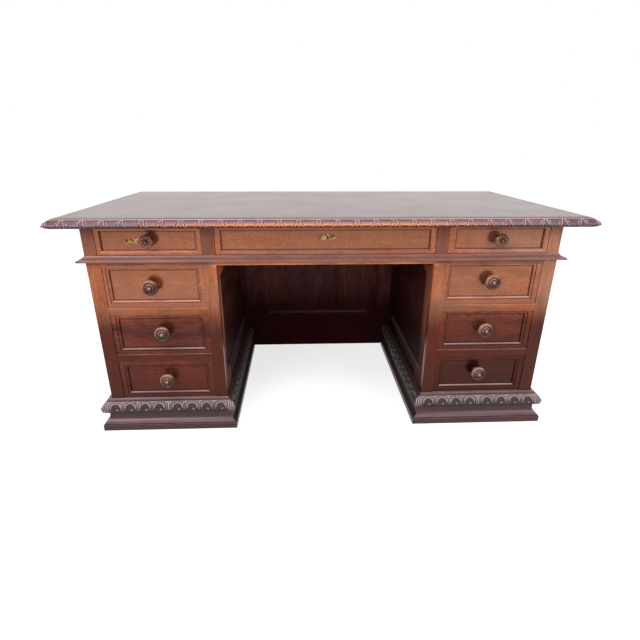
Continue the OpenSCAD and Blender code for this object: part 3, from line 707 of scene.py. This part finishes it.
def lunettes(pitch, count):
    """Round arches over drilled eyes with upright leaves between, and a leaf over each corner."""
    def depth(s, v, corner):
        w = (v - ARCH_MIDDLE) * TORUS_GIRTH
        q = np.abs(s) - LUNETTE_FIRST
        k = np.clip(np.round(q / pitch), 0, count - 1)
        side = np.where(s < 0, -1, 1)
        du = q - k * pitch + 1.2 * hand(k * side, 3)
        d = np.hypot(du, w * 0.92)
        radius = ARCH_R + 0.8 * hand(k * side, 4)
        rim = ridge(d - radius, 3.8) * (1 - 0.65 * smooth(w, -2, 10))
        second = 0.75 * ridge(d - radius + 7.0, 2.0) * (1 - smooth(w, -12, -4))
        right = du * side
        egg = np.sqrt(np.clip(1 - ((right - 4.5) / 6.5) ** 2 - ((w - 8) / 5.0) ** 2, 0, 1))
        inner = np.maximum(egg, second)
        between = pitch / 2 - np.abs(du)
        ribs = 0.5 + 0.5 * np.cos(2 * math.pi * between / 5.6)
        tip = 0.4 * ridge(w + 26, 7) * ridge(between, 6)
        fan = 0.45 + 0.55 * ribs * (1 - 0.55 * smooth(w, 4, 18)) + tip
        outer = np.where(d > radius, fan * smooth(d, radius + 1, radius + 4), 0)
        high = np.maximum(np.maximum(rim, inner), outer)
        veins = 0.5 + 0.5 * np.cos(2 * math.pi * (corner + 0.45 * np.abs(w)) / 8.0)
        leaf = 0.62 + 0.38 * veins
        over = 1 - smooth(corner, 23, 27)
        high = high * (1 - over) + leaf * over
        ends = smooth(v, 0.02, 0.12) * (1 - smooth(v, 0.93, 0.99))
        return BASE_CUT * (1 - np.clip(high, 0, 1)) * ends
    return depth


def distances(points):
    """How far along a line each of its points lies."""
    return np.concatenate([[0], np.cumsum(np.linalg.norm(np.diff(points, axis=0), axis=1))])


def profile_rows(lines, step):
    """Rows of a closed profile, as points, normals, places along the carved line and shades.

    A point of a line has its distance out, its height and, where it isn't 0, its shade.
    """
    points, carved, shade = [], [], []
    for line, cut in lines:
        line = np.array([tuple(p) + (0.0,) * (3 - len(p)) for p in line], float)
        length = distances(line[:, :2])
        count = max(2, int(round(length[-1] / step)) + 1)
        for x in (np.linspace(0, length[-1], count) if cut else length):
            p = [np.interp(x, length, line[:, k]) for k in range(3)]
            if points and math.dist(p[:2], points[-1]) < 1e-6:
                if cut:
                    carved[-1] = 0.0
                continue
            points.append(p[:2])
            shade.append(p[2])
            carved.append(x / length[-1] if cut else -1.0)
    points = np.array(points)
    ahead = np.roll(points, -1, 0) - np.roll(points, 1, 0)
    normals = np.stack([-ahead[:, 1], ahead[:, 0]], 1)
    normals /= np.linalg.norm(normals, axis=1)[:, None]
    return points, normals, np.array(carved), np.array(shade)


def carve_length(
    name, node, material, lines, base, origin, along, outward,
    depth=None, mitres=(1, 1), step=1.5, deepest=1.0,
):
    """One length of moulding: a profile along a base line, cut in by the depth, with mitred ends."""
    points, normals, v, shade = profile_rows(lines, step)
    reach = base / 2 + points[:, 0].max()
    columns = int(2 * reach / step) if depth else 2
    share = np.linspace(-1, 1, columns)[:, None]
    out = np.broadcast_to(points[:, 0], (columns, len(points)))
    cut = np.zeros_like(out)
    for _ in range(3):
        low = base / 2 + mitres[0] * out
        high = base / 2 + mitres[1] * out
        s = np.where(share > 0, share * high, share * low)
        corner = np.minimum(
            np.where(mitres[1], high - s, 999.0), np.where(mitres[0], low + s, 999.0)
        )
        if depth:
            cut = np.where(v >= 0, depth(s, np.clip(v, 0, 1), corner), 0.0)
        out = points[:, 0] - cut * normals[:, 0]
    z = points[:, 1] - cut * normals[:, 1]
    along, outward, origin = np.array(along), np.array(outward), np.array(origin)
    co = origin + s[..., None] * along + out[..., None] * outward + z[..., None] * np.array((0, 0, 1.0))
    index = np.arange(s.size).reshape(s.shape)
    ahead = np.roll(index, -1, 1)
    quads = np.stack([index[:-1], index[1:], ahead[1:], ahead[:-1]], -1).reshape(-1, 4)
    faces = quads.tolist() + [index[0].tolist(), index[-1][::-1].tolist()]
    mesh = closed_mesh(name, co.reshape(-1, 3) * MM, faces)
    local = np.stack([s, np.broadcast_to(distances(points), s.shape), np.zeros_like(s)], -1) * MM
    set_board(mesh, local, np.ones(co.size), one_seed(name, mesh))
    # The relief darkens the cuts and the lines' shaded points, with dirt and painted shade
    set_attribute(mesh, "relief", cut / deepest + shade)
    shade_smooth(add_piece(name, mesh, material, node), CARVED_ANGLE if depth else PLAIN_ANGLE)
    if material == EDGE:
        mesh.materials.append(TOP)
        for face in mesh.polygons:
            if face.normal.z > 0.999 and face.center.z > (TOP_Z - 0.1) * MM:
                face.material_index = 1


def four_sides(half_w, half_d):
    """The four lengths round a rectangle: name, base line, middle, direction and outward."""
    return (
        ("front", 2 * half_w, (0, -half_d, 0), (1, 0, 0), (0, -1, 0)),
        ("back", 2 * half_w, (0, half_d, 0), (-1, 0, 0), (0, 1, 0)),
        ("left", 2 * half_d, (-half_w, 0, 0), (0, -1, 0), (-1, 0, 0)),
        ("right", 2 * half_d, (half_w, 0, 0), (0, 1, 0), (1, 0, 0)),
    )


# Height of the top and its joint with the edge moulding, then the moulding's corners
TOP_Z, JOINT_X, JOINT_Y = 785.0, 822.0, 390.0
EDGE_ARRIS, EDGE_TIP, EDGE_UNDER = (17.0, 785.0), (48.0, 765.0), (32.0, 755.0)
LEAF_PITCH = {"front": 60.0, "back": 60.0, "left": 58.4, "right": 58.4}


def edge_lines():
    down = arc(EDGE_ARRIS, EDGE_TIP, math.dist(EDGE_ARRIS, EDGE_TIP), 24)
    under = arc(EDGE_TIP, EDGE_UNDER, math.dist(EDGE_TIP, EDGE_UNDER), 14)
    face = np.concatenate([down, under[1:]])
    share = np.arange(len(face)) / len(face)
    # The plain strip is kept from rubbing, and the underside is darkened with painted shade
    shade = np.interp(share, (0, 0.1, 0.2, 0.66, 0.74), (-1, -0.8, 0, 0, 0.7))
    strip, below = [(0, TOP_Z, -1), (*EDGE_ARRIS, -1)], [EDGE_UNDER, (0, EDGE_UNDER[1])]
    return [(strip, False), (np.column_stack([face, shade]), True), (below, False)]


def top_edge():
    step = 1.5
    for side, *where in four_sides(JOINT_X, JOINT_Y):
        carve_length(
            "top_edge_" + side, "top_edge_moulding", EDGE, edge_lines(), *where,
            leaf_and_dart(LEAF_PITCH[side]), step=step, deepest=EDGE_CUT,
        )


# Heights in the carved base and how far it stands out, then the faces of case and kneehole
BASE_LOW, TORUS_R, TORUS_OUT = 66.0, 23.0, 10.0
CAP_OUT, CAP_LOW, CAP_TOP, BASE_TOP, BASE_TOP_OUT = 14.0, 112.0, 115.0, 121.0, 4.0
CASE_X, CASE_Y, KNEE_X, KNEE_BACK_Y = 792.0, 360.0, 368.0, 330.0

# The first arch's distance from the middle, then the pitch and number of arches to each side of it
LUNETTE_FIRST = 33.0
LUNETTES = {"front": (53.0, 4), "back": (53.0, 4), "outer": (51.2, 7), "inner": (52.6, 6)}


def base_lines():
    angles = np.linspace(math.pi / 2, -math.pi / 2, 40)
    centre = BASE_LOW + TORUS_R
    bulge = np.stack([TORUS_OUT + TORUS_R * np.cos(angles), centre + TORUS_R * np.sin(angles)], 1)
    a, b = (CAP_OUT - 1, CAP_TOP), (BASE_TOP_OUT, BASE_TOP)
    hollow = arc(a, b, math.dist(a, b), 6)[::-1].tolist()
    cap = [(0, BASE_TOP)] + hollow + [(CAP_OUT, CAP_TOP), (CAP_OUT, CAP_LOW)]
    # The cap is kept from rubbing, and the line where it meets the torus is darkened with painted shade
    cap = [(*p, -0.5) for p in cap] + [(*bulge[0], 0.6)]
    return [(cap, False), (bulge, True), ([tuple(bulge[-1]), (0, BASE_LOW)], False)]


def base_lengths(sign):
    """The lengths about a pedestal, as in four_sides, and which of their ends are mitred."""
    inner, outer = sign * KNEE_X, sign * CASE_X
    mid, wide = (inner + outer) / 2, CASE_X - KNEE_X
    inner_mid, inner_deep = (KNEE_BACK_Y - CASE_Y) / 2, KNEE_BACK_Y + CASE_Y
    one_end = (0, 1) if sign < 0 else (1, 0)
    return (
        ("front", wide, (mid, -CASE_Y, 0), (1, 0, 0), (0, -1, 0), (1, 1)),
        ("back", wide, (mid, CASE_Y, 0), (-1, 0, 0), (0, 1, 0), one_end),
        ("outer", 2 * CASE_Y, (outer, 0, 0), (0, sign, 0), (sign, 0, 0), (1, 1)),
        ("inner", inner_deep, (inner, inner_mid, 0), (0, -sign, 0), (-sign, 0, 0), one_end[::-1]),
    )


def carved_bases():
    step = 1.3
    for side, sign in (("left", -1), ("right", 1)):
        for name, *where, mitres in base_lengths(sign):
            carve_length(
                f"{side}_base_{name}", side + "_carved_base", SHADED if name == "inner" else CARVED,
                base_lines(), *where, lunettes(*LUNETTES[name]), mitres, step, BASE_CUT,
            )


# Plain mouldings, with a quirk where two members meet, dark with painted shade

def cove(a, b, r, count):
    """Points on a hollow arc from a to b."""
    return arc(b, a, r, count)[::-1].tolist()


def waist():
    hollow = cove((2, 656), (18.4, 644.6), 17.0, 10)
    # Painted shade in the quirk
    quirk = [(18.9, 643.4, 0.6), (19.3, 642.4, 1), (20.2, 642.3, 1), (20.6, 643.4, 0.3)]
    lip = [(21.4, 643.2), (22, 642.5), (22, 638.2), (21.2, 637), (0, 637)]
    lines = [([(0, 656)] + hollow + quirk + lip, False)]
    for side, *where in four_sides(CASE_X, CASE_Y):
        carve_length("waist_" + side, "waist_moulding", DARK, lines, *where)


def plinths():
    # Painted shade on the neck under the carved base and in the quirk; the cove is paler with painted
    # sheen, and the face a little paler
    top = [(0, 66), (11.2, 66), (12, 65.2, 0.9), (12, 58.6, 0.7), (12.4, 56.8, 0.3)]
    hollow = [(*p, -0.3) for p in cove((12.6, 56.0), (28.6, 26.6), 30.0, 12)]
    quirk = [(29.2, 25.2, 0.3), (29.8, 23.4, 1), (31.2, 23.2, 1), (31.8, 24.2, 0.2)]
    face = [(32.8, 24.4), (33.8, 23.6, -0.2), (34, 22.6, -0.2), (34, 1.0, -0.2), (33.2, 0), (0, 0)]
    lines = [(top + hollow + quirk + face, False)]
    for side, sign in (("left", -1), ("right", 1)):
        for name, *where, mitres in base_lengths(sign):
            carve_length(
                f"{side}_plinth_{name}", side + "_plinth", SHADED if name == "inner" else DARK,
                lines, *where, mitres=mitres,
            )


# Drawer fronts, each with a round moulding about its sunk field

FACE_Y, FIELD_DEPTH, FRONT_T = -357.0, 10.0, 21.0

# Width of each border, at the left, the right, the bottom and the top
BORDERS = {
    "top_left": (11, 13, 9, 7), "top_centre": (14.5, 14.5, 8, 5), "top_right": (20, 11, 8, 3),
    "left_upper": (11, 17, 16, 7), "left_middle": (15, 17, 12, 5), "left_lower": (17, 17, 11, 14),
    "right_upper": (11, 17, 17, 0.8), "right_middle": (17, 17, 13, 3), "right_lower": (17, 19, 16, 13),
}

# Shades of what is made pale: wear with painted light
RUBBED_AND_LIT, MOST_RUBBED_AND_LIT = -0.3, -0.9

# How far a front fills the gap at its left and its right
SLACK = {
    "top_left": (0.7, 0), "left_upper": (0.7, 0.5), "left_middle": (0, 0.5), "left_lower": (0.3, 0.5),
    "right_upper": (0.5, 0), "right_middle": (0.5, 0), "right_lower": (0.5, 0.5),
}


def front_section(frieze):
    """Share of the border, distance past it, depth and shade of each ring of a front."""
    # The last value darkens the front's edges at the gap, the quirk and the groove about the field:
    # painted shade, with some dirt
    rings = [(0, 0, FRONT_T, 1), (0, 0, 1.2, 1), (0, 0.3, 0.3, 0.5), (0, 1.0, 0, 0)]
    if frieze:
        r, start, back = 4.6, 0.9, 8.5
        rings += [(1, -0.6, 0, 0), (1, 0.2, 0.4, 0.3), (1, 0.7, 0.9, 0.25)]
    else:
        r, start, back = 7.0, 2.0, 7.0
        rings += [(1, -0.8, 0, 0), (1, -0.2, 0.3, 0.1), (1, 0, 0.9, 0.6), (1, 0.1, 3.0, 1)]
        rings += [(1, 1.2, 3.2, 1), (1, 1.6, 2.4, 0.4)]
    for k in range(9):
        a = k / 8 * math.pi / 2
        past, depth = start + r * math.sin(a), start + back * (1 - math.cos(a))
        rings.append((1, past, depth, 0.0 if k < 7 else 0.4))
    end = start + r
    rings += [(1, end + 0.1, 10.6, 1), (1, end + 1.4, 10.6, 1), (1, end + 2.2, FIELD_DEPTH, 0.5)]
    return rings + [(1, end + 6, FIELD_DEPTH, 0)]


def bridge(bm, a, b):
    """Faces between two rings of as many points."""
    for k in range(len(a)):
        bm.faces.new((a[k], a[(k + 1) % len(a)], b[(k + 1) % len(b)], b[k]))


def keyhole_field(bm, shade, around, keyhole):
    """The field inside the last ring, with the hole for the key."""
    inner = []
    for depth in (FIELD_DEPTH, FIELD_DEPTH + 0.2, FRONT_T - 1):
        y = (FACE_Y + depth) * MM
        ring = [bm.verts.new((keyhole.x + x * MM, y, keyhole.z + z * MM)) for x, z in keyhole_line()]
        for vert in ring:
            # The inside of the keyhole is dark with painted shade
            vert[shade] = 1.0 if depth > FIELD_DEPTH else 0.0
        inner.append(ring)
    count = len(inner[0])
    edges = [bm.edges.get((around[k], around[(k + 1) % 4])) for k in range(4)]
    edges += [bm.edges.new((inner[0][k], inner[0][(k + 1) % count])) for k in range(count)]
    bmesh.ops.triangle_fill(bm, use_beauty=True, edges=edges)
    for a, b in zip(inner, inner[1:]):
        bridge(bm, a, b)
    bm.faces.new(inner[-1])


def drawer_front(name, node, keyhole=None):
    low, high = (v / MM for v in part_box(node))
    slack = SLACK.get(name, (0, 0))
    low.x -= slack[0]
    high.x += slack[1]
    frieze, lower = name.startswith("top"), name.endswith(("middle", "lower"))
    border = BORDERS[name]
    bm = bmesh.new()
    shade = bm.verts.layers.float.new("relief")
    previous = None
    for share, past, depth, dark in front_section(frieze):
        left, right, bottom, top = (share * b + past for b in border)
        y = FACE_Y + depth
        corners = (
            (low.x + left, low.z + bottom), (high.x - right, low.z + bottom),
            (high.x - right, high.z - top), (low.x + left, high.z - top),
        )
        ring = [bm.verts.new((x * MM, y * MM, z * MM)) for x, z in corners]
        # The border is paler, most at the foot of a frieze drawer, with wear and painted light; a lower
        # drawer's moulding is paler too, a painted highlight
        for k, vert in enumerate(ring):
            vert[shade] = dark
            if depth == 0 and past < 5:
                vert[shade] = MOST_RUBBED_AND_LIT if frieze and k < 2 else RUBBED_AND_LIT
            if lower and dark == 0 and 2 < depth < 9:
                vert[shade] = RUBBED_AND_LIT
        if previous:
            bridge(bm, previous, ring)
        else:
            bm.faces.new(ring[::-1])
        previous = ring
    if keyhole is None:
        bm.faces.new(previous)
    else:
        keyhole_field(bm, shade, previous, keyhole)
    bmesh.ops.recalc_face_normals(bm, faces=bm.faces)
    mesh = mesh_of(bm, node)
    co = points_of(mesh)
    order = [0, 2, 1]
    middle, half = (co.min(0) + co.max(0)) / 2, (co.max(0) - co.min(0)) / 2
    half = np.broadcast_to(half[order], co.shape)
    set_board(mesh, (co - middle)[:, order], half, one_seed(node, mesh))
    piece = add_piece(node + "_moulded", mesh, FRONT_LOW if lower else FRONT, node)
    weigh_normals(piece, FRONT_ANGLE)


def middle_of(node):
    low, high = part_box(node)
    return (low + high) / 2


def drawer_fronts():
    for name in BORDERS:
        plate = name + "_escutcheon"
        keyhole = middle_of(plate) if plate in frame["nodes"] else None
        drawer_front(name, name + "_drawer_front", keyhole)


# Knobs

KNOB_TURNS, KNOB_STEP = 112, 0.8
# Directions of the painted shade on the pedestal knobs and on the frieze knobs
LOWER_RIGHT, UPPER_RIGHT = -math.pi / 3, math.pi / 3

# Numbers of notches, beads and petals, and how far from the middle they are
NOTCHES, BEADS, PETALS = 9, 30, 7
NOTCHES_R, BEADS_R, EYES_R = 12.6, 21.5, 12.2


def lathe(name, node, centre, outline, relief):
    """A turned and carved knob. The outline is radius and distance out, and relief lifts its face."""
    outline = np.array(outline, float)
    length = distances(outline)
    where = np.linspace(0, length[-1], int(length[-1] / KNOB_STEP))
    r = np.interp(where, length, outline[:, 0])
    out = np.interp(where, length, outline[:, 1])
    angle = np.arange(KNOB_TURNS) * 2 * math.pi / KNOB_TURNS
    rr, aa = np.meshgrid(r[:-1], angle, indexing="ij")
    oo = np.broadcast_to(out[:-1, None], rr.shape)
    lift, shade = relief(rr, aa, oo)
    middle = np.array(centre) / MM
    sides = np.stack([rr * np.cos(aa), -(oo + lift), rr * np.sin(aa)], -1).reshape(-1, 3)
    co = (middle + np.concatenate([sides, [[0, -out[-1], 0]]])) * MM
    index = np.arange(rr.size).reshape(rr.shape)
    ahead = np.roll(index, -1, 1)
    quads = np.stack([index[:-1], ahead[:-1], ahead[1:], index[1:]], -1).reshape(-1, 4).tolist()
    fan = [[int(a), int(b), rr.size] for a, b in zip(index[-1], ahead[-1])]
    mesh = closed_mesh(name, co, quads + fan + [index[0][::-1].tolist()])
    local = (co - np.array(centre))[:, [2, 0, 1]]
    set_board(mesh, local, np.ones(co.size), one_seed(name, mesh))
    set_attribute(mesh, "relief", np.append(shade.ravel(), 0.0))
    shade_smooth(add_piece(name, mesh, KNOB, node), KNOB_ANGLE)


def turned(head_r, rim_r):
    """Foot, neck, flare and the side of the head, up to the crest of its rim."""
    core = head_r - rim_r
    ball = [(11 + 3 * math.sin(a), 3 - 3 * math.cos(a)) for a in np.linspace(0, math.pi, 9)]
    neck = [(10.2, 6.4), (9, 8), (8.9, 12), (9.3, 15), (core * 0.75, 18.5)]
    turn = np.linspace(0.15, math.pi * 0.86, 16)
    rim = [(core + rim_r * math.sin(a), 31 - rim_r * math.cos(a)) for a in turn]
    return [(6.4, -11), (6.4, 0), (11, 0)] + ball + neck + rim


def round_boss(r, out, count):
    return [(r * math.cos(a), out + r * math.sin(a)) for a in np.linspace(0.1, math.pi / 2, count)]


# The neck and foot behind the head are darker: painted shade, with some dirt
def behind_head(out):
    return 0.55 * (1 - smooth(out, 16, 30))


def pedestal_knob(name, node, centre):
    face = [(20.5, 38.6), (18.6, 37.2), (17.3, 34.6), (16.3, 34.4), (15.2, 36.2), (12.6, 38.6)]
    boss = [(10, 38.2), (8.4, 35.6), (7.4, 35.2), (6.2, 36.4), (5.9, 39)] + round_boss(5.9, 40, 9)

    def relief(r, a, out):
        """Notched ring and beaded rim, pale above with wear and a painted highlight, and dark with
        painted shade at the lower right.
        """
        front = smooth(out, 30, 33)
        petal = ridge(r - NOTCHES_R, 3.2) * front
        notch = (0.5 - 0.5 * np.cos(NOTCHES * a)) ** 3
        bead = ridge(r - BEADS_R, 3.4) * front * (0.5 - 0.5 * np.cos(BEADS * a)) ** 2
        lift = -2.0 * petal * notch - 0.5 * bead
        # Rings, notches and beads are dark with dirt and painted shade
        rings = 0.62 * ridge(r - 17.0, 1.5) + 0.55 * ridge(r - 8.0, 1.3)
        groove = (rings + 0.6 * petal * notch + 0.25 * bead) * front
        # Painted shade at the lower right, which also keeps it from rubbing
        painted_shade_and_less_wear = 0.62 * smooth(np.cos(a - LOWER_RIGHT), -0.45, 0.3) * smooth(r, 7, 10) * front
        return lift, np.clip(groove + painted_shade_and_less_wear + behind_head(out), 0, 1)

    lathe(name, node, centre, turned(27.0, 8.0) + face + boss, relief)


def frieze_knob(name, node, centre):
    face = [(17.5, 38.6), (15.6, 38.4), (13, 38.2), (10.2, 38.4), (8.2, 38.0), (7.0, 36.2)]
    boss = [(6.0, 36.0), (5.2, 37.4), (4.9, 39.5)] + round_boss(4.9, 40.2, 8)

    def relief(r, a, out):
        """Seven drilled eyes inside seven petals, with painted shade at the upper right."""
        front = smooth(out, 30, 33)
        slot_angle = 2 * math.pi / PETALS
        turn = (a / slot_angle - np.round(a / slot_angle)) * slot_angle
        hole = np.hypot(r * np.sin(turn), r * np.cos(turn) - EYES_R)
        drilled = (1 - smooth(hole, 1.9, 3.0)) * front
        petal = (0.5 + 0.5 * np.cos(PETALS * a + math.pi)) ** 4 * smooth(r, 14, 17) * front
        lift = -3.0 * drilled - 1.4 * petal
        # Drilled eyes, petals and the ring about the boss are dark with dirt and painted shade
        groove = 0.65 * drilled + 0.5 * petal + ridge(r - 6.8, 1.4) * front
        # Less rubbing all over, and painted shade at the upper right
        painted_shade_and_less_wear = 0.09 + 0.3 * smooth(np.cos(a - UPPER_RIGHT), -0.2, 0.8) * front
        return lift, np.clip(groove + painted_shade_and_less_wear + behind_head(out), 0, 1)

    lathe(name, node, centre, turned(23.0, 7.0) + face + boss, relief)


def knobs():
    for node in frame["nodes"]:
        if not node.endswith("knob"):
            continue
        centre = middle_of(node)
        centre.y = (FACE_Y + FIELD_DEPTH) * MM
        make = frieze_knob if node.startswith("top") else pedestal_knob
        make(node + "_carved", node, centre)


# Pierced brass plates

KEYHOLE_R, KEYHOLE_L, KEYHOLE_W = 1.9, 6.0, 2.2
PLATE_HALF, PLATE_T, PLATE_BEVEL = 29, 1.5, 0.25

# Middle and radius of each lobe, then place, half sizes and tilt of each piercing
LOBES = ((0, 9.4), (9.0, 8.2), (16.2, 8.8), (23.0, 6.2), (26.6, 2.6))
PIERCINGS = (
    (12.6, 3.9, 3.4, 2.0, 0.7), (12.6, -3.9, 3.4, 2.0, -0.7), (19.0, 3.6, 2.0, 2.6, 0),
    (19.0, -3.6, 2.0, 2.6, 0), (24.3, 0, 1.7, 2.0, 0), (6.4, 5.0, 1.7, 1.8, 0),
    (6.4, -5.0, 1.7, 1.8, 0), (8.8, 0, 1.9, 1.4, 0),
)


def plate_outline():
    """Round lobes with cusps between."""
    xs = np.linspace(-PLATE_HALF, PLATE_HALF, 291)
    height = np.full_like(xs, 0.6)
    for middle, r in LOBES:
        for sign in (1, -1):
            height = np.maximum(height, np.sqrt(np.clip(r * r - (xs - sign * middle) ** 2, 0, None)))
    return np.concatenate([np.stack([xs, height], 1), np.stack([xs[::-1], -height[::-1]], 1)])


def oval(x, z, rx, rz, tilt):
    angle = np.arange(18) * 2 * math.pi / 18
    a, b = rx * np.cos(angle), rz * np.sin(angle)
    cos, sin = math.cos(tilt), math.sin(tilt)
    return np.stack([x + a * cos - b * sin, z + a * sin + b * cos], 1)


def keyhole_line():
    start = -math.pi / 2 + math.asin(KEYHOLE_W / 2 / KEYHOLE_R)
    angle = np.linspace(start, math.pi * 1.5 - math.asin(KEYHOLE_W / 2 / KEYHOLE_R), 20)
    line = np.stack([KEYHOLE_R * np.cos(angle), KEYHOLE_R * np.sin(angle)], 1)
    foot = np.array([(-KEYHOLE_W / 2, -KEYHOLE_L), (KEYHOLE_W / 2, -KEYHOLE_L)])
    return np.concatenate([line, foot])


def escutcheon(node):
    curve = bpy.data.curves.new(node + "_pierced", "CURVE")
    curve.dimensions = "2D"
    curve.fill_mode = "BOTH"
    curve.extrude = (PLATE_T / 2 - PLATE_BEVEL) * MM
    curve.bevel_depth = PLATE_BEVEL * MM
    curve.bevel_resolution = 1
    lines = [plate_outline() * 0.985, keyhole_line()]
    for sign in (-1, 1):
        lines += [oval(sign * x, z, rx, rz, sign * tilt) for x, z, rx, rz, tilt in PIERCINGS]
    for line in lines:
        spline = curve.splines.new("POLY")
        spline.points.add(len(line) - 1)
        for point, (x, z) in zip(spline.points, line):
            point.co = (x * MM, z * MM, 0, 1)
        spline.use_cyclic_u = True
    flat = new_object(node + "_flat", curve)
    bpy.context.view_layer.update()
    graph = bpy.context.evaluated_depsgraph_get()
    mesh = bpy.data.meshes.new_from_object(flat.evaluated_get(graph))
    bpy.data.objects.remove(flat)
    mesh.transform(Matrix.Translation(middle_of(node)) @ Matrix.Rotation(math.pi / 2, 4, "X"))
    piece = add_piece(node + "_pierced", mesh, BRASS, node)
    weigh_normals(piece, PLATE_ANGLE)


# Studio

# Name, place, width, depth and power
LAMPS = (
    ("key", (-1.9, -3.0, 2.3), 1.6, 1.6, 72),
    ("fill", (2.4, -2.8, 1.9), 1.6, 1.6, 42),
    ("overhead", (0.0, -0.9, 2.6), 3.2, 1.4, 60),
)
LAMP_AIM = Vector((0, 0, 0.45))
FLOOR_HALF, FLOOR_GLOW, WORLD_LIGHT, WORLD_SEEN = 9, 0.72, 0.7, 1.0


def floor_material():
    """Pale floor that the camera sees as white, and that keeps the shadow."""
    s = Shader("floor")
    seen = s.seen()
    grey = s.mix(s.noise(s.place(), 2.0, 3.0, 0.6), (0.42, 0.42, 0.42), (0.44, 0.44, 0.44))
    s.set("Base Color", s.mix(seen, (0.35, 0.35, 0.35), grey))
    s.set("Roughness", 0.9)
    s.set("Specular IOR Level", 0.0)
    s.set("Emission Color", (1, 1, 1))
    s.set("Emission Strength", s.times(seen, FLOOR_GLOW))
    return s.owner


def make_floor():
    bm = bmesh.new()
    bmesh.ops.create_grid(bm, x_segments=4, y_segments=4, size=FLOOR_HALF)
    mesh = mesh_of(bm, "floor")
    mesh.materials.append(floor_material())
    new_object("floor", mesh)


def make_world():
    """White surroundings that light the desk less than they show."""
    scene.world = bpy.data.worlds.new("world")
    s = Shader()
    s.set("Color", (1, 1, 1))
    s.set("Strength", s.span(s.seen(), 0, 1, WORLD_LIGHT, WORLD_SEEN, smooth=False))


def make_lamps():
    for name, place, wide, deep, power in LAMPS:
        data = bpy.data.lights.new(name, "AREA")
        data.shape = "RECTANGLE"
        data.size = wide
        data.size_y = deep
        data.energy = power
        lamp = new_object(name, data)
        lamp.location = place
        lamp.rotation_euler = (LAMP_AIM - Vector(place)).to_track_quat("-Z", "Y").to_euler()


# The desk in its place

REMADE = (
    "edge_moulding", "waist_moulding", "carved_base", "plinth", "knob", "escutcheon", "drawer_front",
)
OWN_WOOD = {
    "desktop_panel": TOP, "frieze_posts": POST, "left_inner_side": INNER, "right_inner_side": INNER,
    "modesty_frame": KNEE_BACK, "modesty_panel": KNEE_BACK,
}


def dress_boards():
    for node in frame["nodes"]:
        if node.endswith(REMADE):
            continue
        material = OWN_WOOD.get(node, MATERIAL[SLOT[node]])
        edge = IRON_EDGE if SLOT[node] == "iron" else BOARD_EDGE
        if node.endswith("rails"):
            edge = RAIL_EDGE
        dress(node, material, edge, upright=node == "modesty_panel")


make_camera()
make_floor()
make_world()
make_lamps()
dress_boards()
top_edge()
carved_bases()
waist()
plinths()
drawer_fronts()
knobs()
for node in ("top_left_escutcheon", "top_centre_escutcheon"):
    escutcheon(node)
